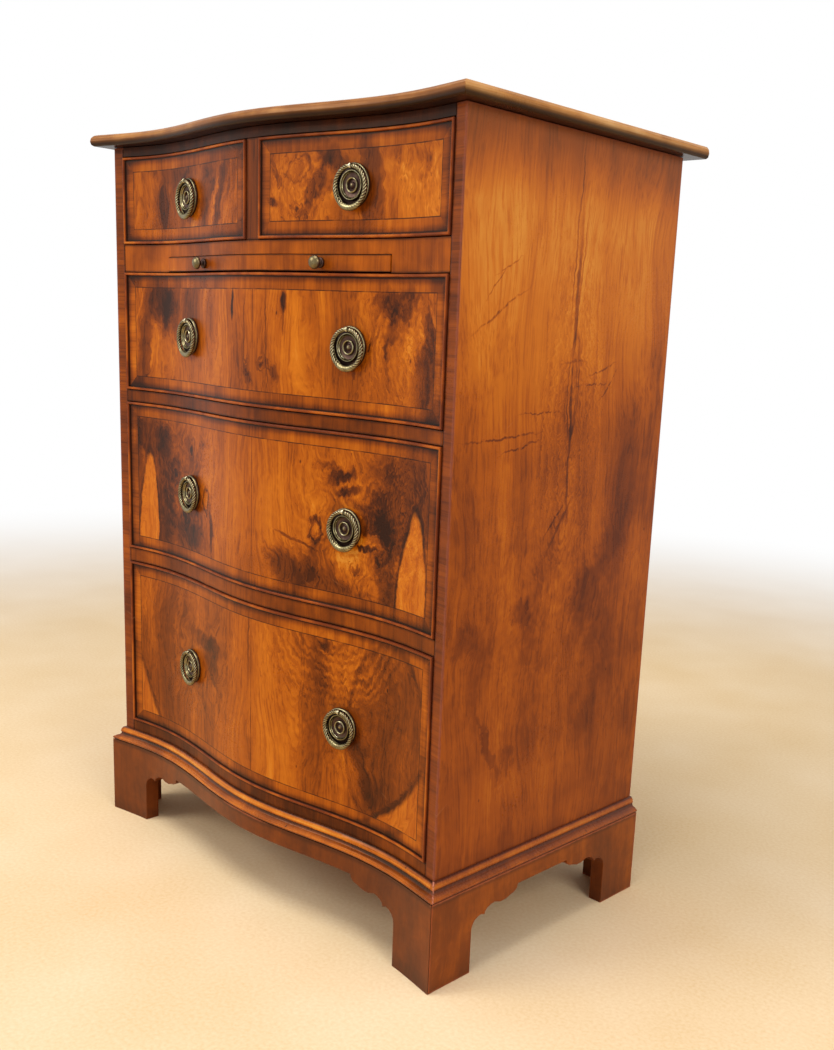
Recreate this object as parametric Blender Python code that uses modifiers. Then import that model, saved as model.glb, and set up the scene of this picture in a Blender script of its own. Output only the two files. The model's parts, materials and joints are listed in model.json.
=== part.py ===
"""Serpentine chest of drawers in yew: two short and three long drawers, a brushing slide, ring pulls.

Metres, +Z up. The front faces -Y and +X is to the right as seen from the front. The origin is on the
floor, under the middle of the overall box.
"""

import math

import bmesh
import bpy
from mathutils import Matrix, Vector

# Carcase
WIDTH = 0.540
DEPTH = 0.305
SIDE_THICK = 0.014
BACK_THICK = 0.006

# The serpentine plan: the front swells by RISE in the middle and falls as far in the two hollows
SERPENTINE_RISE = 0.0097
SERPENTINE_DIP = 0.69
FRONT_STEPS = 24

# Heights of the front, from the floor up
PLINTH_HEIGHT = 0.090
MOULDING_HEIGHT = 0.016
BOTTOM_EDGE = 0.0119
LOWER_OPENING = 0.1987
LOWER_RAIL = 0.0151
MIDDLE_OPENING = 0.1709
UPPER_RAIL = 0.0128
UPPER_OPENING = 0.1295
SLIDE_OPENING = 0.0159
SLIDE_RAIL = 0.0130
SHORT_OPENING = 0.0922
TOP_RAIL = 0.0100
TOP_THICK = 0.012

# Top board, with a thumb-moulded edge
TOP_OVERHANG = 0.0167
TOP_OVERHANG_BACK = 0.020
THUMB_REACH = 0.0055
THUMB_DROP = 0.0070
UNDER_REACH = 0.0028
THUMB_STEPS = 3
UNDER_STEPS = 2

# Rails, dust boards and divider
TOP_RAIL_DEPTH = 0.045
BOTTOM_LIP_DEPTH = 0.018
DIVIDER_THICK = 0.0196
BEARER_THICK = 0.006
BEARER_SETBACK = 0.031

# Base moulding: a bead under a cove under an ovolo
MOULDING_PROUD = 0.0108
BEAD_HEIGHT = 0.0036
COVE_RADIUS = 0.0044
MOULDING_FILLET = 0.0008
MOULDING_STEPS = 3

# Plinth and its scroll-cut bracket feet
PLINTH_PROUD = 0.0105
PLINTH_THICK = 0.016
FOOT_FRONT_WIDTH = 0.059
FOOT_SIDE_WIDTH = 0.056
BRACKET_DEPTH = 0.045
FOOT_COVE_WIDTH = 0.0130
FOOT_COVE_DEPTH = 0.0332
TOOTH_WIDTH = 0.0045
TOOTH_DEPTH = 0.0350
NEXT_COVE_WIDTH = 0.0140
NEXT_COVE_DEPTH = 0.0268
SWELL_WIDTH = 0.0235
SWELL_CROWN = 0.0030
ROUND_WIDTH = 0.0100
APRON_DEPTH = 0.0187
COVE_STEPS = 4
SWELL_STEPS = 3
BACK_BRACKET_REACH = 0.034

# Drawers
DRAWER_GAP = 0.0007
DRAWER_BLOCK = 0.022
DRAWER_SIDE_THICK = 0.008
DRAWER_BACK_THICK = 0.008
DRAWER_BOTTOM_THICK = 0.005
DRAWER_BOTTOM_RAISE = 0.008
GROOVE_DEPTH = 0.004
DRAWER_SIDE_DROP = 0.006
DRAWER_BACK_ROOM = 0.012
SIDE_PLAY = 0.0006
COCKBEAD_WIDTH = 0.0030
COCKBEAD_PROUD = 0.0025
COCKBEAD_ROUND = 0.0014
COCKBEAD_STEPS = 3

# Lapped dovetails at the front of each drawer side
TAIL_LENGTH = 0.012
TAIL_PITCH = 0.033
TAIL_ROOT = 0.0085
TAIL_FLARE = 0.0022
TAIL_FOOT = 0.017
TAIL_HEAD = 0.003

# Brushing slide and its knobs
SLIDE_THICK = 0.0145
SLIDE_WIDTH = 0.353
SLIDE_PROUD = 0.0012
SLIDE_BACK_ROOM = 0.014
KNOB_SPACING = 0.184
KNOB_LENGTH = 0.0125
KNOB_HEAD_RADIUS = 0.0066
KNOB_HEAD_THICK = 0.0062
KNOB_NECK_RADIUS = 0.0021
KNOB_FLANGE_RADIUS = 0.0048
KNOB_FLANGE_THICK = 0.0028
KNOB_SPIGOT_RADIUS = 0.0018
KNOB_SPIGOT_LENGTH = 0.010
KNOB_STEPS = 14

# Ring pulls
PULL_SPACING = 0.260
SHORT_PULL_DROP = 0.0009
UPPER_PULL_DROP = 0.0009
MIDDLE_PULL_DROP = 0.0045
LOWER_PULL_DROP = 0.0013
PLATE_RADIUS = 0.0192
RIM_WIDTH = 0.0016
RIM_HEIGHT = 0.0030
MOAT_HEIGHT = 0.0014
BOSS_RADIUS = 0.0114
BOSS_RIDGE = 0.0022
BOSS_HEIGHT = 0.0050
DISH_HEIGHT = 0.0022
COLLAR_RADIUS = 0.0074
COLLAR_WIDTH = 0.0020
COLLAR_HEIGHT = 0.0041
BUTTON_RADIUS = 0.0030
BUTTON_HEIGHT = 0.0039
PLATE_STEPS = 16
RIDGE_STEPS = 3
BUTTON_STEPS = 2
EYE_HEIGHT = 0.0160
EYE_WIRE = 0.0011
EYE_PLAY = 0.0004
RING_RADIUS = 0.0176
RING_WIRE = 0.0022
RING_STEPS = 20
EYE_STEPS = 10
WIRE_SIDES = 6
STUD_RADIUS = 0.0020
STUD_END = 0.0020
STUD_SIDES = 8
NUT_RADIUS = 0.0045
NUT_THICK = 0.0030

# Clearances
GLUE_GAP = 0.0003
MITRE_GAP = 0.0005
SLIDE_GAP = 0.0005
SEAT_GAP = 0.0006
THROUGH = 0.010

HALF = WIDTH / 2
INSIDE = HALF - SIDE_THICK
FRONT = (SERPENTINE_RISE + TOP_OVERHANG - DEPTH - TOP_OVERHANG_BACK) / 2
REAR = FRONT + DEPTH
BACK_FACE = REAR - BACK_THICK

BOTTOM_LEVEL = PLINTH_HEIGHT + MOULDING_HEIGHT
LOWER_LEVEL = BOTTOM_LEVEL + BOTTOM_EDGE
LOWER_RAIL_LEVEL = LOWER_LEVEL + LOWER_OPENING
MIDDLE_LEVEL = LOWER_RAIL_LEVEL + LOWER_RAIL
UPPER_RAIL_LEVEL = MIDDLE_LEVEL + MIDDLE_OPENING
UPPER_LEVEL = UPPER_RAIL_LEVEL + UPPER_RAIL
SLIDE_LEVEL = UPPER_LEVEL + UPPER_OPENING
SLIDE_RAIL_LEVEL = SLIDE_LEVEL + SLIDE_OPENING
SHORT_LEVEL = SLIDE_RAIL_LEVEL + SLIDE_RAIL
TOP_RAIL_LEVEL = SHORT_LEVEL + SHORT_OPENING
TOP_LEVEL = TOP_RAIL_LEVEL + TOP_RAIL
SLIDE_BASE = SLIDE_RAIL_LEVEL - SLIDE_GAP - SLIDE_THICK


def clear_scene():
    for obj in list(bpy.data.objects):
        bpy.data.objects.remove(obj, do_unlink=True)


def new_collection(name):
    collection = bpy.data.collections.new(name)
    bpy.context.scene.collection.children.link(collection)
    return collection


clear_scene()
PARTS = new_collection("serpentine_chest")
CUTTERS = new_collection("cutters")


# Plan curve


def serpentine(x):
    """How far the front stands forward of its end corners at x."""
    t = abs(x) / HALF
    if t < SERPENTINE_DIP:
        return SERPENTINE_RISE * math.cos(math.pi * t / SERPENTINE_DIP)
    return -SERPENTINE_RISE * math.cos(math.pi / 2 * (t - SERPENTINE_DIP) / (1 - SERPENTINE_DIP))


def front_y(x, proud=0.0):
    return FRONT - serpentine(x) - proud


def facing(x):
    """The turn about Z of a piece that sits square on the front at x."""
    step = 0.0005
    return math.atan((serpentine(x - step) - serpentine(x + step)) / (2 * step))


def stations(low, high, steps=FRONT_STEPS):
    return [low + (high - low) * i / steps for i in range(steps + 1)]


def front_line(low, high, proud=0.0, steps=FRONT_STEPS):
    return [(x, front_y(x, proud)) for x in stations(low, high, steps)]


def arc(centre, radius_x, radius_y, start, end, steps):
    """Points of an ellipse's arc, from start to end in degrees."""
    points = []
    for i in range(steps + 1):
        angle = math.radians(start + (end - start) * i / steps)
        points.append((centre[0] + radius_x * math.cos(angle), centre[1] + radius_y * math.sin(angle)))
    return points


# Making solids


def material(name, colour, roughness, metallic=0.0):
    made = bpy.data.materials.new(name)
    made.use_nodes = True
    shader = made.node_tree.nodes["Principled BSDF"]
    shader.inputs["Base Color"].default_value = (*colour, 1.0)
    shader.inputs["Roughness"].default_value = roughness
    shader.inputs["Metallic"].default_value = metallic
    made.diffuse_color = (*colour, 1.0)
    return made


YEW = {
    "top_board": material("yew_top", (0.40, 0.17, 0.06), 0.35),
    "side": material("yew_side", (0.36, 0.12, 0.035), 0.32),
    "rail": material("yew_rail", (0.26, 0.075, 0.022), 0.35),
    "moulding": material("yew_moulding", (0.42, 0.14, 0.035), 0.32),
    "plinth": material("yew_plinth", (0.22, 0.06, 0.02), 0.38),
    "front": material("yew_drawer_front", (0.47, 0.17, 0.04), 0.28),
    "slide": material("yew_slide", (0.40, 0.13, 0.035), 0.32),
}
SECONDARY = {
    "drawer_side": material("oak_drawer_side", (0.45, 0.29, 0.15), 0.6),
    "drawer_back": material("oak_drawer_back", (0.42, 0.27, 0.14), 0.62),
    "drawer_bottom": material("ply_drawer_bottom", (0.50, 0.36, 0.21), 0.65),
    "dust_board": material("softwood_dust_board", (0.38, 0.25, 0.14), 0.7),
    "back_panel": material("softwood_back_panel", (0.30, 0.18, 0.10), 0.7),
}
BRASS = {
    "plate": material("antique_brass_plate", (0.30, 0.22, 0.13), 0.34, 1.0),
    "ring": material("antique_brass_ring", (0.42, 0.33, 0.18), 0.30, 1.0),
    "knob": material("antique_brass_knob", (0.38, 0.31, 0.22), 0.30, 1.0),
}


def new_object(name, mesh, finish=None, collection=PARTS):
    obj = bpy.data.objects.new(name, mesh)
    collection.objects.link(obj)
    if finish and not mesh.materials:
        mesh.materials.append(finish)
    return obj


def evaluated_mesh(obj):
    """The object's mesh with its modifiers applied and its loose caps welded, in its own coordinates."""
    graph = bpy.context.evaluated_depsgraph_get()
    mesh = bpy.data.meshes.new_from_object(obj.evaluated_get(graph))
    work = bmesh.new()
    work.from_mesh(mesh)
    bmesh.ops.remove_doubles(work, verts=work.verts, dist=0.000001)
    bmesh.ops.recalc_face_normals(work, faces=work.faces)
    work.to_mesh(mesh)
    work.free()
    return mesh


AXES = {
    "X": Matrix(((0, 0, 1, 0), (1, 0, 0, 0), (0, 1, 0, 0), (0, 0, 0, 1))),
    "Y": Matrix(((1, 0, 0, 0), (0, 0, -1, 0), (0, 1, 0, 0), (0, 0, 0, 1))),
    "Z": Matrix.Identity(4),
}


def plank(name, outline, axis, start, end, finish=None, collection=PARTS):
    """A flat outline extruded along an axis from start to end. It is in (x, y), (x, z) or (y, z)."""
    curve = bpy.data.curves.new(name, "CURVE")
    curve.dimensions = "2D"
    curve.fill_mode = "BOTH"
    curve.extrude = (end - start) / 2
    spline = curve.splines.new("POLY")
    spline.points.add(len(outline) - 1)
    for point, (u, v) in zip(spline.points, outline):
        point.co = (u, v, 0.0, 1.0)
    spline.use_cyclic_u = True
    drawn = bpy.data.objects.new(name + "_outline", curve)
    CUTTERS.objects.link(drawn)
    mesh = evaluated_mesh(drawn)
    bpy.data.objects.remove(drawn)
    bpy.data.curves.remove(curve)
    along = {"X": (1, 0, 0), "Y": (0, 1, 0), "Z": (0, 0, 1)}[axis]
    mesh.transform(Matrix.Translation(Vector(along) * (start + end) / 2) @ AXES[axis])
    mesh.name = name
    obj = new_object(name, mesh, finish, collection)
    smooth(obj)
    return obj


def box(name, x, y, z, finish=None, collection=PARTS):
    """A board with square edges, between two values along each axis."""
    bpy.ops.mesh.primitive_cube_add(size=1.0)
    obj = bpy.context.object
    for other in obj.users_collection:
        other.objects.unlink(obj)
    collection.objects.link(obj)
    obj.name = name
    obj.data.name = name
    size = Matrix.Diagonal((x[1] - x[0], y[1] - y[0], z[1] - z[0], 1.0))
    middle = Matrix.Translation(((x[0] + x[1]) / 2, (y[0] + y[1]) / 2, (z[0] + z[1]) / 2))
    obj.data.transform(middle @ size)
    if finish:
        obj.data.materials.append(finish)
    return obj


def loft(name, rings, finish, ladder=False):
    """A skin over closed loops with as many points each, closed at both ends.

    With ladder the end loops are two facing rows, joined rung by rung, which suits an end that is curved
    in plan.
    """
    work = bmesh.new()
    rows = [[work.verts.new(point) for point in ring] for ring in rings]
    count = len(rows[0])
    for low, high in zip(rows, rows[1:]):
        for i in range(count):
            j = (i + 1) % count
            work.faces.new((low[i], low[j], high[j], high[i]))
    for row in (rows[0], rows[-1]):
        if not ladder:
            work.faces.new(row)
            continue
        for i in range(count // 2 - 1):
            work.faces.new((row[i], row[i + 1], row[count - 2 - i], row[count - 1 - i]))
    bmesh.ops.recalc_face_normals(work, faces=work.faces)
    mesh = bpy.data.meshes.new(name)
    work.to_mesh(mesh)
    work.free()
    return new_object(name, mesh, finish)


def smooth(obj, angle=35):
    obj.data.shade_smooth()
    obj.data.set_sharp_from_angle(angle=math.radians(angle))


def hide_cutter(obj):
    obj.hide_render = True
    obj.display_type = "WIRE"


def combine(obj, other, operation):
    """A live Boolean with another object, which becomes a hidden helper."""
    hide_cutter(other)
    modifier = obj.modifiers.new(other.name, "BOOLEAN")
    modifier.operation = operation
    modifier.solver = "EXACT"
    modifier.object = other


def turned(name, profile, steps, collection=CUTTERS):
    """A profile of (radius, height) points from the top down, turned about Z."""
    mesh = bpy.data.meshes.new(name)
    mesh.from_pydata([(r, 0.0, h) for r, h in profile], [(i, i + 1) for i in range(len(profile) - 1)], [])
    obj = new_object(name, mesh, collection=collection)
    screw = obj.modifiers.new("turning", "SCREW")
    screw.steps = steps
    screw.render_steps = steps
    screw.use_merge_vertices = True
    screw.merge_threshold = 0.00001
    return obj


def ring_mesh(name, radius, wire, steps, tilt, place):
    """A round ring, tilted about Y, with its middle at place."""
    bpy.ops.mesh.primitive_torus_add(
        major_radius=radius, minor_radius=wire, major_segments=steps, minor_segments=WIRE_SIDES
    )
    obj = bpy.context.object
    for other in obj.users_collection:
        other.objects.unlink(obj)
    CUTTERS.objects.link(obj)
    obj.name = name
    obj.data.transform(Matrix.Translation(place) @ Matrix.Rotation(tilt, 4, "Y"))
    return obj


def anchor(name, place):
    """The empty that a drawer or the slide hangs on."""
    empty = bpy.data.objects.new(name, None)
    empty.location = place
    PARTS.objects.link(empty)
    return empty


def hang(obj, empty):
    obj.parent = empty
    obj.matrix_parent_inverse = Matrix.Translation(empty.location).inverted()


# Carcase


def make_top_board():
    nose = TOP_LEVEL + TOP_THICK - THUMB_DROP
    under = arc((UNDER_REACH, nose), UNDER_REACH, nose - TOP_LEVEL, 270, 180, UNDER_STEPS)
    over = arc((THUMB_REACH, nose), THUMB_REACH, THUMB_DROP, 180, 90, THUMB_STEPS)
    rings = []
    for inset, z in under[:-1] + over:
        reach = HALF + TOP_OVERHANG - inset
        line = front_line(-reach, reach, TOP_OVERHANG - inset)
        back = REAR + TOP_OVERHANG_BACK
        rings.append([(x, y, z) for x, y in line + [(reach, back), (-reach, back)]])
    smooth(loft("top_board", rings, YEW["top_board"]))


def make_side_panels():
    for side, name in ((-1, "side_panel_left"), (1, "side_panel_right")):
        outer, inner = side * HALF, side * INSIDE
        outline = [(outer, front_y(outer)), (inner, front_y(inner)), (inner, REAR), (outer, REAR)]
        plank(name, outline, "Z", PLINTH_HEIGHT + GLUE_GAP, TOP_LEVEL - GLUE_GAP, YEW["side"])


def make_back_panel():
    reach = INSIDE - GLUE_GAP
    levels = (PLINTH_HEIGHT + GLUE_GAP, TOP_LEVEL - GLUE_GAP)
    box("back_panel", (-reach, reach), (BACK_FACE, REAR), levels, SECONDARY["back_panel"])


def rail_outline(back):
    """A board from side to side, with the serpentine along its front edge."""
    reach = INSIDE - GLUE_GAP
    return front_line(-reach, reach) + [(reach, back), (-reach, back)]


def make_rails():
    back = BACK_FACE - GLUE_GAP
    plank("middle_rail", rail_outline(back), "Z", LOWER_RAIL_LEVEL, MIDDLE_LEVEL, YEW["rail"])
    plank("upper_rail", rail_outline(back), "Z", UPPER_RAIL_LEVEL, UPPER_LEVEL, YEW["rail"])
    top = (TOP_RAIL_LEVEL, TOP_LEVEL - GLUE_GAP)
    plank("top_rail", rail_outline(FRONT + TOP_RAIL_DEPTH), "Z", *top, YEW["rail"])


def cut_box(obj, name, x, y, z):
    combine(obj, box(name, x, y, z, collection=CUTTERS), "DIFFERENCE")


def make_bottom_board():
    """The board under the lowest drawer, with a lip that comes down to the plinth behind the moulding."""
    levels = (PLINTH_HEIGHT + GLUE_GAP, LOWER_LEVEL)
    board = plank("bottom_board", rail_outline(BACK_FACE - GLUE_GAP), "Z", *levels, YEW["rail"])
    depth = (FRONT + BOTTOM_LIP_DEPTH, REAR)
    cut_box(board, "behind_lip", (-HALF, HALF), depth, (0.0, BOTTOM_LEVEL))


def make_slide_rail():
    """The rail and dust board over the brushing slide, with a guide and a cheek on each side of it."""
    levels = (SLIDE_LEVEL, SHORT_LEVEL)
    rail = plank("slide_rail", rail_outline(BACK_FACE - GLUE_GAP), "Z", *levels, YEW["rail"])
    reach = SLIDE_WIDTH / 2 + SLIDE_GAP
    below = SLIDE_LEVEL - THROUGH
    depth = (FRONT - SERPENTINE_RISE - THROUGH, REAR)
    cut_box(rail, "slide_way", (-reach, reach), depth, (below, SLIDE_RAIL_LEVEL))
    behind = (FRONT + BEARER_SETBACK - GLUE_GAP, REAR)
    cut_box(rail, "bearer_room", (-HALF, HALF), behind, (below, SLIDE_BASE))


def make_slide_bearer():
    """The board that carries the brushing slide, behind the upper long drawer's front."""
    reach = INSIDE - GLUE_GAP
    depth = (FRONT + BEARER_SETBACK, BACK_FACE - GLUE_GAP)
    top = SLIDE_BASE - GLUE_GAP
    box("slide_bearer", (-reach, reach), depth, (top - BEARER_THICK, top), SECONDARY["dust_board"])


def make_divider():
    reach = DIVIDER_THICK / 2
    back = BACK_FACE - GLUE_GAP
    outline = front_line(-reach, reach, steps=2) + [(reach, back), (-reach, back)]
    levels = (SHORT_LEVEL + GLUE_GAP, TOP_RAIL_LEVEL - GLUE_GAP)
    plank("short_drawer_divider", outline, "Z", *levels, YEW["rail"])


# Base


def moulding_profile():
    """(proud, height) points round the section, from the inside bottom corner outwards and up."""
    bead = BEAD_HEIGHT / 2
    points = [(GLUE_GAP, 0.0)]
    points += arc((MOULDING_PROUD - bead, bead), bead, bead, -90, 90, MOULDING_STEPS + 1)
    shelf = MOULDING_PROUD - bead - MOULDING_FILLET
    cove_foot = BEAD_HEIGHT + MOULDING_FILLET
    points.append((shelf, cove_foot))
    cove_head = (shelf - COVE_RADIUS, cove_foot + COVE_RADIUS)
    points += arc((shelf, cove_head[1]), COVE_RADIUS, COVE_RADIUS, 250, 180, MOULDING_STEPS)[1:]
    ovolo_foot = cove_head[1] + MOULDING_FILLET
    ovolo_out = cove_head[0] + MOULDING_FILLET
    rise = MOULDING_HEIGHT - ovolo_foot
    reach = ovolo_out - GLUE_GAP
    points += arc((GLUE_GAP, ovolo_foot), reach, rise, 0, 90, MOULDING_STEPS)
    return points


def make_base_moulding():
    base = PLINTH_HEIGHT + GLUE_GAP
    profile = moulding_profile()
    rings = [[(-HALF - p, REAR, base + h) for p, h in profile]]
    for x in stations(-1.0, 1.0):
        ring = []
        for p, h in profile:
            at = x * (HALF + p)
            ring.append((at, front_y(at, p), base + h))
        rings.append(ring)
    rings.append([(HALF + p, REAR, base + h) for p, h in profile])
    smooth(loft("base_moulding", rings, YEW["moulding"]), 30)


def bracket_scroll(foot):
    """(distance from the corner, height) of a bracket's edge, from the foot's inside up to the apron.

    A cove runs from the foot to a small tooth, a second cove from the tooth to a hanging swell, and a
    short round from there to the apron. Their depths are measured down from the plinth's top edge.
    """
    tooth = foot + FOOT_COVE_WIDTH + TOOTH_WIDTH
    swell = tooth + NEXT_COVE_WIDTH
    end = swell + SWELL_WIDTH
    springing = (foot + FOOT_COVE_WIDTH, PLINTH_HEIGHT - BRACKET_DEPTH)
    points = [(foot, -THROUGH)]
    points += arc(springing, FOOT_COVE_WIDTH, BRACKET_DEPTH - FOOT_COVE_DEPTH, 180, 90, COVE_STEPS)
    foot_of_cove = (swell, PLINTH_HEIGHT - TOOTH_DEPTH)
    points += arc(foot_of_cove, NEXT_COVE_WIDTH, TOOTH_DEPTH - NEXT_COVE_DEPTH, 180, 90, COVE_STEPS)
    for i in range(1, SWELL_STEPS + 1):
        share = i / SWELL_STEPS
        depth = NEXT_COVE_DEPTH + SWELL_CROWN * math.sin(math.pi * share)
        points.append((swell + SWELL_WIDTH * share, PLINTH_HEIGHT - depth))
    apron = (end, PLINTH_HEIGHT - APRON_DEPTH)
    points += arc(apron, ROUND_WIDTH, NEXT_COVE_DEPTH - APRON_DEPTH, -70, 0, SWELL_STEPS)
    return points


def scroll_cutter(name, axis, low, high, start, end, points):
    """The opening between two feet whose outer corners are at low and high."""
    outline = [(low + d, z) for d, z in points] + [(high - d, z) for d, z in reversed(points)]
    return plank(name, outline, axis, start, end, collection=CUTTERS)


def make_plinth():
    outer = HALF + PLINTH_PROUD
    inner = outer - PLINTH_THICK
    set_back = PLINTH_PROUD - PLINTH_THICK
    face = front_line(-outer, outer, PLINTH_PROUD)
    reverse = list(reversed(front_line(-inner, inner, set_back)))
    front = plank("plinth_front", face + reverse, "Z", 0.0, PLINTH_HEIGHT, YEW["plinth"])
    swell = SERPENTINE_RISE + THROUGH
    depth = (FRONT - swell - PLINTH_PROUD, FRONT + swell + PLINTH_THICK)
    scroll = bracket_scroll(FOOT_FRONT_WIDTH)
    combine(front, scroll_cutter("front_scroll", "Y", -outer, outer, *depth, scroll), "DIFFERENCE")

    corner = front_y(outer, PLINTH_PROUD)
    mitre = (corner + MITRE_GAP, front_y(inner, set_back) + MITRE_GAP)
    for side, name in ((-1, "left"), (1, "right")):
        outline = [(side * outer, mitre[0]), (side * inner, mitre[1])]
        outline += [(side * inner, REAR), (side * outer, REAR)]
        board = plank("plinth_" + name, outline, "Z", 0.0, PLINTH_HEIGHT, YEW["plinth"])
        low, high = sorted((side * (outer + THROUGH), side * (inner - THROUGH)))
        scroll = bracket_scroll(FOOT_SIDE_WIDTH)
        cutter = scroll_cutter("scroll_" + name, "X", corner, REAR, low, high, scroll)
        combine(board, cutter, "DIFFERENCE")

    reach = inner - GLUE_GAP
    behind = (REAR - PLINTH_THICK, REAR)
    back = box("plinth_back", (-reach, reach), behind, (0.0, PLINTH_HEIGHT), YEW["plinth"])
    foot = FOOT_SIDE_WIDTH - PLINTH_THICK
    springing = (foot, PLINTH_HEIGHT - BRACKET_DEPTH)
    plain = [(foot, -THROUGH), springing, (foot + BACK_BRACKET_REACH, PLINTH_HEIGHT - APRON_DEPTH)]
    span = (behind[0] - THROUGH, behind[1] + THROUGH)
    combine(back, scroll_cutter("back_bracket", "Y", -reach, reach, *span, plain), "DIFFERENCE")


# Drawers


def drawer_front(name, x, z):
    """A serpentine block with a proud cockbead round its face."""
    half = COCKBEAD_WIDTH / 2
    bead = arc((half, COCKBEAD_PROUD - COCKBEAD_ROUND), half, COCKBEAD_ROUND, 180, 0, COCKBEAD_STEPS)
    steps = max(4, round(FRONT_STEPS * (x[1] - x[0]) / WIDTH))
    rings = []
    for inset, proud in [(0.0, None)] + bead + [(COCKBEAD_WIDTH, 0.0)]:
        across = stations(*x, steps)
        across[0] += inset
        across[-1] -= inset
        depths = [FRONT + DRAWER_BLOCK if proud is None else front_y(at, proud) for at in across]
        foot = [(at, y, z[0] + inset) for at, y in zip(across, depths)]
        head = [(at, y, z[1] - inset) for at, y in zip(across, depths)]
        rings.append(foot + head[::-1])
    front = loft(name, rings, YEW["front"], ladder=True)
    smooth(front)
    return front


def tail_places(low, high):
    """The heights of the dovetails' middles on a drawer side that runs from low to high."""
    foot, head = low + TAIL_FOOT, high - TAIL_HEAD
    count = max(1, int((head - foot) / TAIL_PITCH + 0.5))
    pitch = (head - foot) / count
    return [foot + pitch * (i + 0.5) for i in range(count)]


def tail_outline(middle, root_y, grow):
    """One tail in (y, z), with its faces moved out by grow."""
    tip_y = FRONT + DRAWER_BLOCK - TAIL_LENGTH - grow
    slope = TAIL_FLARE / TAIL_LENGTH
    root = TAIL_ROOT + grow - slope * (root_y - FRONT - DRAWER_BLOCK)
    tip = TAIL_ROOT + TAIL_FLARE + grow
    return [(root_y, middle - root), (tip_y, middle - tip), (tip_y, middle + tip), (root_y, middle + root)]


def drawer_side(name, x, z, back):
    shoulder = FRONT + DRAWER_BLOCK + GLUE_GAP
    outline = [(back, z[1]), (back, z[0]), (shoulder, z[0])]
    for middle in tail_places(*z):
        outline += tail_outline(middle, shoulder, 0.0)
    outline.append((shoulder, z[1]))
    return plank(name, outline, "X", *x, SECONDARY["drawer_side"])


def make_drawer(name, x, z):
    """A drawer in the opening between x and z, with its pieces hung on one empty."""
    front_x = (x[0] + DRAWER_GAP, x[1] - DRAWER_GAP)
    front_z = (z[0] + DRAWER_GAP, z[1] - DRAWER_GAP)
    side_z = (z[0] + GLUE_GAP, z[1] - DRAWER_GAP - DRAWER_SIDE_DROP)
    block = FRONT + DRAWER_BLOCK
    back = BACK_FACE - DRAWER_BACK_ROOM
    outer = (front_x[0] + SIDE_PLAY, front_x[1] - SIDE_PLAY)
    inner = (outer[0] + DRAWER_SIDE_THICK, outer[1] - DRAWER_SIDE_THICK)
    floor = z[0] + DRAWER_BOTTOM_RAISE

    front = drawer_front(name + "_drawer_front", front_x, front_z)
    left = drawer_side(name + "_drawer_side_left", (outer[0], inner[0]), side_z, back)
    right = drawer_side(name + "_drawer_side_right", (inner[1], outer[1]), side_z, back)
    bottom_x = (inner[0] - GROOVE_DEPTH, inner[1] + GROOVE_DEPTH)
    bottom_y = (block - GROOVE_DEPTH, back)
    bottom_z = (floor, floor + DRAWER_BOTTOM_THICK)
    finish = SECONDARY["drawer_bottom"]
    bottom = box(name + "_drawer_bottom", bottom_x, bottom_y, bottom_z, finish)
    rear = box(
        name + "_drawer_back",
        (inner[0] + GLUE_GAP, inner[1] - GLUE_GAP),
        (back - DRAWER_BACK_THICK, back),
        (bottom_z[1] + GLUE_GAP, side_z[1]),
        SECONDARY["drawer_back"],
    )

    groove = box(
        name + "_groove",
        (bottom_x[0] - GLUE_GAP, bottom_x[1] + GLUE_GAP),
        (bottom_y[0] - GLUE_GAP, back + THROUGH),
        (bottom_z[0] - GLUE_GAP, bottom_z[1] + GLUE_GAP),
        collection=CUTTERS,
    )
    for piece in (front, left, right):
        combine(piece, groove, "DIFFERENCE")
    for i, middle in enumerate(tail_places(*side_z)):
        outline = tail_outline(middle, block + THROUGH / 4, GLUE_GAP)
        ends = ((front_x[0] - THROUGH, inner[0] + GLUE_GAP), (inner[1] - GLUE_GAP, front_x[1] + THROUGH))
        for (low, high), hand in zip(ends, ("left", "right")):
            socket = plank(f"{name}_socket_{hand}_{i}", outline, "X", low, high, collection=CUTTERS)
            combine(front, socket, "DIFFERENCE")

    empty = anchor(name + "_drawer", ((x[0] + x[1]) / 2, FRONT, z[0]))
    for piece in (front, left, right, bottom, rear):
        hang(piece, empty)
    return front, empty


# Ring pulls and knobs


def ridge(radius, width, low, high):
    """A rounded ridge of a turned piece, out to radius, that rises from low to high."""
    half = width / 2
    return arc((radius - half, low), half, high - low, 180, 0, RIDGE_STEPS)


def plate_profile():
    """(radius, height) from the button down and out over the collar, the boss and the rim.

    The boss is dished round the collar, and the ring hangs in the moat between boss and rim.
    """
    profile = arc((0.0, DISH_HEIGHT), BUTTON_RADIUS, BUTTON_HEIGHT - DISH_HEIGHT, 90, 0, BUTTON_STEPS)
    profile += ridge(COLLAR_RADIUS, COLLAR_WIDTH, DISH_HEIGHT, COLLAR_HEIGHT)
    profile += ridge(BOSS_RADIUS, BOSS_RIDGE, DISH_HEIGHT, BOSS_HEIGHT)
    profile.append((BOSS_RADIUS, MOAT_HEIGHT))
    profile += ridge(PLATE_RADIUS, RIM_WIDTH, MOAT_HEIGHT, RIM_HEIGHT)
    return profile + [(PLATE_RADIUS, 0.0), (0.0, 0.0)]


def ring_standoff():
    """How far the hanging ring's middle plane lies from the back of its plate."""
    return RIM_HEIGHT + EYE_PLAY + RING_WIRE


def rod(name, radius, low, high, sides=STUD_SIDES):
    """A round or many-sided bar along Z, between two heights."""
    bpy.ops.mesh.primitive_cylinder_add(vertices=sides, radius=radius, depth=high - low)
    obj = bpy.context.object
    for other in obj.users_collection:
        other.objects.unlink(obj)
    CUTTERS.objects.link(obj)
    obj.name = name
    obj.data.transform(Matrix.Translation((0.0, 0.0, (low + high) / 2)))
    return obj


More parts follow.
